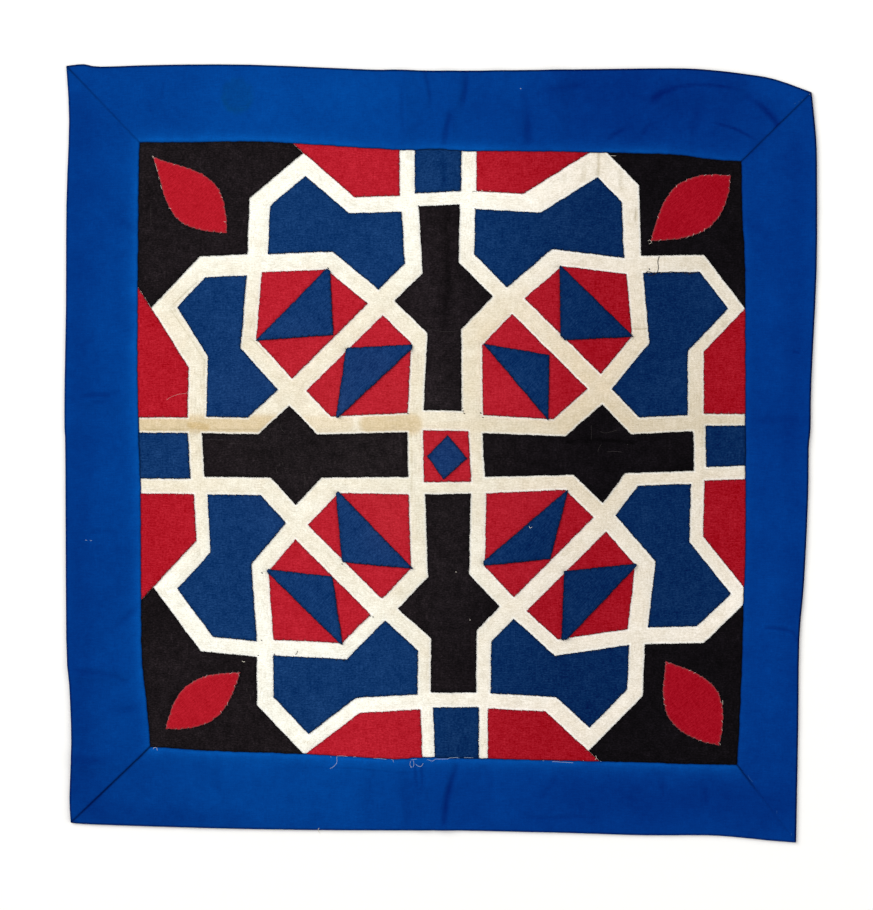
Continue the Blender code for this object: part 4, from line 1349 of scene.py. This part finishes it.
# Loose threads and lint of each thread: the radius in mm and the route on the photograph
LOOSE = {
    "grey": (
        (0.07, ((204.5, 439.6), (214, 439.7), (224, 440.3))),
        (0.06, ((229, 443.5), (233, 443.6), (237.5, 443.9))),
        (0.07, ((280.8, 424), (281.4, 429), (285, 432.5))),
        (0.06, ((288, 437.5), (291, 438.2), (295, 440))),
        (0.14, ((285.3, 470.5), (286.2, 471))),
        (0.09, ((279, 463.5), (280, 466))),
        (0.07, ((276, 467), (276.3, 471), (277.5, 474))),
        (0.07, ((282.5, 462), (283, 466))),
        (0.06, ((303.6, 473), (305.2, 479), (304, 488))),
        (0.14, ((430.6, 325.6), (431.6, 326.4))),
        (0.06, ((430, 329.5), (442, 331.5), (456, 331.8))),
        (0.06, ((600, 431.5), (606, 432.8), (618, 430))),
        (0.05, ((591.3, 425), (591.4, 432), (591.2, 440))),
        (0.07, ((607, 451.8), (614, 451.4), (622, 452))),
        (0.13, ((627, 444.3), (628.2, 444.8))),
        (0.05, ((151, 204), (150.7, 214), (151.2, 225))),
        (0.05, ((598, 452), (599, 448), (601.5, 444))),
        (0.09, ((246.5, 688), (247, 692))),
        (0.08, ((250, 694), (250.5, 700))),
        (0.08, ((253, 690), (253.5, 694))),
    ),
    "pink": (
        (0.06, ((166.5, 400), (171, 397), (178, 394.5), (188, 393))),
    ),
    "black": (
        (0.17, ((659.5, 256), (658, 261.5), (658.6, 268), (657, 272.5), (653, 275), (648, 275.5))),
        (0.17, ((644.5, 274), (647.5, 271.5), (651, 272), (654, 274), (656.5, 273), (660, 272),
                (666, 272.5), (670, 271.5), (674.5, 271.8), (680, 272.5), (683, 272), (690, 273.5),
                (696, 272.5))),
        (0.12, ((472, 192), (475, 191), (477, 192))),
        (0.13, ((297.7, 651), (296.8, 653), (295.3, 655.2))),
    ),
    "off_white": (
        (0.09, ((610.5, 155.6), (616, 155.9))),
        (0.07, ((153, 749), (154.5, 747.5), (156.5, 748), (157.5, 750.5))),
        (0.14, ((242, 661), (244, 662), (245, 661))),
        (0.12, ((529, 526), (530, 528), (532, 527))),
        (0.12, ((455, 572), (457, 572))),
        (0.12, ((470, 619), (470, 621))),
        (0.09, ((304, 743), (306, 741), (308, 742), (307, 744))),
        (0.12, ((319, 828), (318, 831), (320, 834))),
        (0.12, ((481, 190), (483, 191))),
        (0.12, ((489, 191), (491, 191))),
        (0.10, ((648, 241), (650, 240), (652, 243))),
        (0.10, ((649, 244), (651, 243))),
        (0.14, ((152, 156), (154, 157))),
        (0.12, ((221, 197), (223, 198))),
        (0.12, ((224, 222), (226, 222))),
        (0.12, ((155.3, 163.5), (156.6, 168), (157.6, 172))),
        (0.12, ((158.6, 176.5), (159.3, 179.5))),
        (0.12, ((160.6, 185), (161.8, 189))),
        (0.10, ((722.6, 700), (722.7, 705))),
        (0.10, ((721.3, 720), (722.4, 722.5))),
        (0.10, ((721.7, 729), (722.2, 730.7))),
        (0.12, ((719.8, 743.4), (720.4, 745))),
        (0.14, ((520, 88.5), (521.3, 88.7))),
        (0.11, ((595.6, 755.6), (596.4, 757.8), (595, 760))),
    ),
    "pale_blue": (
        (0.09, ((336.7, 756.4), (336.9, 762), (334.4, 765.9), (330, 768.7))),
        (0.08, ((330, 757), (331.4, 756.6))),
        (0.08, ((336.7, 756.2), (342, 755.9), (347.8, 756.6))),
        (0.09, ((353.3, 757.2), (354.7, 756.8), (356.4, 757))),
        (0.08, ((373.3, 758.3), (380, 758.6), (386.7, 759.4))),
        (0.08, ((391.1, 759.4), (393, 760), (393.4, 762.2))),
        (0.09, ((410.6, 760.9), (410, 764.2), (411.1, 767.6), (411.7, 765.9))),
        (0.09, ((413.3, 760.3), (413.9, 763.1), (413.3, 767))),
        (0.09, ((415.6, 763.7), (417.8, 765.9), (421.1, 766.2), (423.3, 763.1))),
        (0.08, ((411, 759.9), (417, 759))),
        (0.09, ((427.2, 759.4), (432.2, 760.9), (435.6, 758.9))),
        (0.09, ((435.6, 758.9), (441, 758.8), (447.8, 758.6), (449.5, 757.8), (457.2, 757.5),
                (458.9, 758.3))),
        (0.08, ((463.9, 757.7), (468, 757.6), (473.3, 757.9))),
        (0.10, ((542.6, 760.6), (544, 760.8))),
        (0.08, ((552.2, 761.5), (560, 761.9), (573.3, 762.7))),
        (0.09, ((582.8, 760.6), (584, 760.8))),
        (0.09, ((600, 761.4), (601.3, 761.5))),
        (0.10, ((85, 540), (87, 540.3))),
        (0.10, ((90, 540.6), (92, 540.4))),
        (0.11, ((809.2, 94.2), (810, 94.6))),
    ),
    "bright_blue": (
        (0.10, ((794, 104), (796, 103))),
        (0.10, ((798.3, 102), (799.6, 101.2))),
        (0.10, ((801.5, 100.4), (803, 99.4))),
        (0.08, ((776.7, 810.5), (776.9, 813.5))),
        (0.08, ((791.5, 833), (791.2, 836))),
        (0.08, ((748, 775), (750, 779), (753, 782))),
    ),
}

# Small dark ends of thread at the patches' corners, on the photograph, their radius in mm, and how far
# each reaches from its middle in pixels
DARK_NUBS = (
    (328, 268), (346, 349), (339, 416), (366, 303), (377, 288), (373, 617), (262, 573), (261.5, 640.4),
    (258, 655.5), (274.3, 654.5), (342, 564), (344, 660), (370, 616), (649.5, 269), (685, 273.5),
    (689, 274), (397, 301.5), (462.5, 408), (463.2, 411), (464.3, 413.3), (418.5, 206), (475, 208.5),
    (480.7, 413), (408, 413.6), (483, 417.3))
NUB_RADIUS = 0.27
NUB_REACH = (0.6, 1.0)


def tubes(paths, radii):
    """The vertices, in mm, and faces of threads, which have a radius at each station of their paths."""
    count, stations = paths.shape[:2]
    along = unit(np.gradient(paths, axis=1))
    side = np.cross(along, (0.0, 0.0, 1.0))
    upright = np.linalg.norm(side, axis=2) < 0.1
    side[upright] = np.cross(along[upright], (0.0, 1.0, 0.0))
    side = unit(side)
    up = np.cross(side, along)
    angles = 2.0 * math.pi * np.arange(TUBE_SIDES) / TUBE_SIDES
    spokes = (np.cos(angles)[:, None] * side[..., None, :] + np.sin(angles)[:, None] * up[..., None, :])
    verts = (paths[:, :, None] + radii[:, :, None, None] * spokes).reshape(-1, 3)
    index = np.arange(count * stations * TUBE_SIDES).reshape(count, stations, TUBE_SIDES)
    turned = np.roll(index, -1, axis=2)
    quads = np.stack((index[:, :-1], turned[:, :-1], turned[:, 1:], index[:, 1:]), axis=3)
    faces = quads.reshape(-1, 4).tolist() + index[:, 0, ::-1].tolist() + index[:, -1].tolist()
    return verts, faces


def whip_stitches(piece, lean, radius, reaches):
    """The stitches round one patch, each over the edge from the face down into the cloth below."""
    count = len(piece.stitches)
    chance = np.random.default_rng(sum(map(ord, piece.node)))
    edge, inwards = piece.outline[piece.stitches], piece.normals[piece.stitches]
    along = np.stack((inwards[:, 1], -inwards[:, 0]), axis=1)
    slant = lean * chance.uniform(0.6, 1.4, count)
    reach = chance.uniform(*reaches, count)
    paths = []
    for share, beyond, level, over, _ in STITCH_STATIONS:
        inward = share * reach + beyond
        places = edge + inwards * inward[:, None] + along * (slant * (inward / reach - 0.3))[:, None]
        heights = piece.shape[level] + over + fold_heights(places) - piece.droop(places)
        paths.append(np.concatenate((places, heights[:, None]), axis=1))
    thickness = np.array([station[-1] for station in STITCH_STATIONS])
    return np.stack(paths, axis=1), radius * chance.uniform(0.85, 1.15, count)[:, None] * thickness


def thread_object(name, thread, verts, faces, shades):
    """One object of some threads."""
    mesh = smooth_mesh(name, verts, faces)
    mesh.materials.append(thread_material(thread))
    add_attribute(mesh, "shade", shades)
    made = placed(name, mesh)
    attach(made, "root")


def stitches_of(cloth_name):
    """One object of all stitches along the patches of one cloth."""
    thread, lean, radius, reaches, pale = STITCHES[cloth_name]
    made = [whip_stitches(cloth, lean, radius, reaches) for cloth in cloths.values()
            if cloth.cloth == cloth_name and len(cloth.stitches)]
    paths, radii = (np.concatenate(parts) for parts in zip(*made))
    verts, faces = tubes(paths, radii)
    count = len(paths)
    chance = np.random.default_rng(count)
    shade = np.where(chance.random(count) < pale, chance.uniform(*PALE_SHADES, count),
                     chance.uniform(*DARK_SHADES, count))
    shades = np.repeat(shade, len(verts) // count)
    thread_object("stitches_" + cloth_name, thread, verts, faces, shades)


def surface_heights(places):
    """The height of the topmost cloth at each place."""
    heights = np.zeros(len(places))
    for node, tree in trees.items():
        outline = cloths[node].outline
        close = ((places > outline.min(axis=0)) & (places < outline.max(axis=0))).all(axis=1)
        for index in np.flatnonzero(close):
            hit = tree.ray_cast(Vector((*places[index] * MM, 0.05)), Vector((0.0, 0.0, -1.0)))[0]
            if hit is not None:
                heights[index] = max(heights[index], hit.z / MM)
    return heights


def laid_thread(route, radius):
    """The vertices and faces of a thread that lies on the cloth."""
    places = smooth_route([on_photo(*pixel) for pixel in route], THREAD_PITCH)
    heights = surface_heights(places)
    for _ in range(2):
        padded = np.concatenate((heights[:1], heights, heights[-1:]))
        heights = np.maximum(heights, (padded[:-2] + padded[2:]) / 2)
    path = np.concatenate((places, heights[:, None] + radius * 0.7), axis=1)
    radii = np.full(len(path), radius)
    radii[[0, -1]] = radius * 0.5
    return tubes(path[None], radii[None])


def dark_nubs():
    """The rows of the dark ends of thread, each turned its own way."""
    chance = random.Random(8)
    rows = []
    for x, y in DARK_NUBS:
        turn, reach = chance.uniform(0.0, math.pi), chance.uniform(*NUB_REACH)
        aside = (reach * math.cos(turn), reach * math.sin(turn))
        rows.append((NUB_RADIUS, ((x - aside[0], y - aside[1]), (x + aside[0], y + aside[1]))))
    return rows


def loose_threads():
    """The loose threads, lint and nubs, one object for each kind of thread."""
    for thread, rows in LOOSE.items():
        verts, faces, count = [], [], 0
        for radius, route in [*rows, *(dark_nubs() if thread == "black" else ())]:
            own_verts, own_faces = laid_thread(route, radius)
            verts.append(own_verts)
            faces += [[corner + count for corner in face] for face in own_faces]
            count += len(own_verts)
        thread_object("loose_" + thread, thread, np.concatenate(verts),
                      faces, np.full(count, LOOSE_SHADE))


# Everything together


def declare(piece, cloth):
    """Attach a piece of cloth to the root and hide the node that it stands for; the size it was cut to is
    worked out but not used.
    """
    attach(piece, "root")
    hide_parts(cloth.node)
    width, length = flat_size(cloth.corners)
    area = min(outline_area(cloth.corners), width * length)


def flat_size(corners):
    """Width and length of the smallest upright or leaning box round an outline, in mm."""
    best = None
    for start, end in stretches(corners):
        along = (end - start) / np.linalg.norm(end - start)
        across = np.array((-along[1], along[0]))
        size = [np.ptp(corners @ axis) for axis in (along, across)]
        if best is None or size[0] * size[1] < best[0] * best[1]:
            best = size
    return min(best), max(best)


# The floor's half width in m and how far it lies under the cloth in mm, and its two shades
FLOOR_REACH = 3.0
FLOOR_DROP = 0.05
FLOOR_COLOURS = ((0.95, 0.945, 0.93), (0.97, 0.965, 0.95))

# Lamps: place in m, size in m and power in W, and the light from all round
LAMPS = {"key": ((-1.1, 0.75, 1.45), 1.4, 30.5), "fill": ((1.3, -0.5, 1.3), 1.6, 16.5)}
WORLD = {"Color": (1.0, 0.985, 0.96, 1.0), "Strength": 0.36}

# The camera's height in m over the cloth's face, which is in mm, and the width of its sensor in mm
CAMERA_HEIGHT = 1.5
CAMERA_OVER = 2.4
SENSOR = 36.0


def floor_and_light():
    """A plain pale floor under soft light, brighter from the left."""
    mesh = bpy.data.meshes.new("floor")
    corners = [(x * FLOOR_REACH, y * FLOOR_REACH, 0) for x, y in ((-1, -1), (1, -1), (1, 1), (-1, 1))]
    mesh.from_pydata(corners, [], [(0, 1, 2, 3)])
    floor = placed("floor", mesh)
    floor.location.z = -FLOOR_DROP * MM
    nodes = Nodes("pale_floor")
    grain = nodes.node("TexNoise", {"Vector": nodes.node("TexCoord", {}, "Object"), "Scale": 300.0})
    nodes.surface(nodes.mix(grain, *FLOOR_COLOURS), 0.9, 0.1)
    mesh.materials.append(nodes.material)
    for name, (place, size, power) in LAMPS.items():
        lamp = bpy.data.lights.new(name, "AREA")
        lamp.size, lamp.energy = size, power
        item = placed(name, lamp)
        item.location = place
        item.rotation_mode = "QUATERNION"
        item.rotation_quaternion = Vector(place).to_track_quat("Z", "Y")
    world = bpy.data.worlds.new("studio")
    world.use_nodes = True
    for name, value in WORLD.items():
        world.node_tree.nodes["Background"].inputs[name].default_value = value
    bpy.context.scene.world = world
    bpy.context.scene.view_settings.view_transform = "Standard"
    return floor


def camera():
    """A camera straight over the photograph's middle."""
    middle = on_photo(PHOTO_SIZE[0] / 2, PHOTO_SIZE[1] / 2) * MM
    data = bpy.data.cameras.new("camera")
    data.sensor_width = SENSOR
    data.lens = SENSOR * CAMERA_HEIGHT / (PHOTO_SIZE[1] * PIXEL * MM)
    item = placed("camera", data)
    item.location = (*middle, CAMERA_OVER * MM + CAMERA_HEIGHT)
    bpy.context.scene.camera = item


outlines = {node: node_outline(node) for node in sorted(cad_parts)}
patch_nodes = [node for node in outlines if kind_of(node)["layer"] == "patch"]
panel_edge = divided(outlines["ground_panel"], EDGE_PITCH)
floor = floor_and_light()
camera()

cloths = {}
for node in outlines:
    maker = Ground if node == "ground_panel" else Border if node.startswith("border") else Cloth
    cloths[node] = maker(node)
patches = [cloth for cloth in cloths.values() if cloth.layer == "patch"]
made = {node: cloth.build() for node, cloth in cloths.items()}

for node, cloth in cloths.items():
    declare(made[node], cloth)

for name in STITCHES:
    stitches_of(name)
graph = bpy.context.evaluated_depsgraph_get()
trees = {node: BVHTree.FromObject(piece, graph) for node, piece in made.items()}
loose_threads()
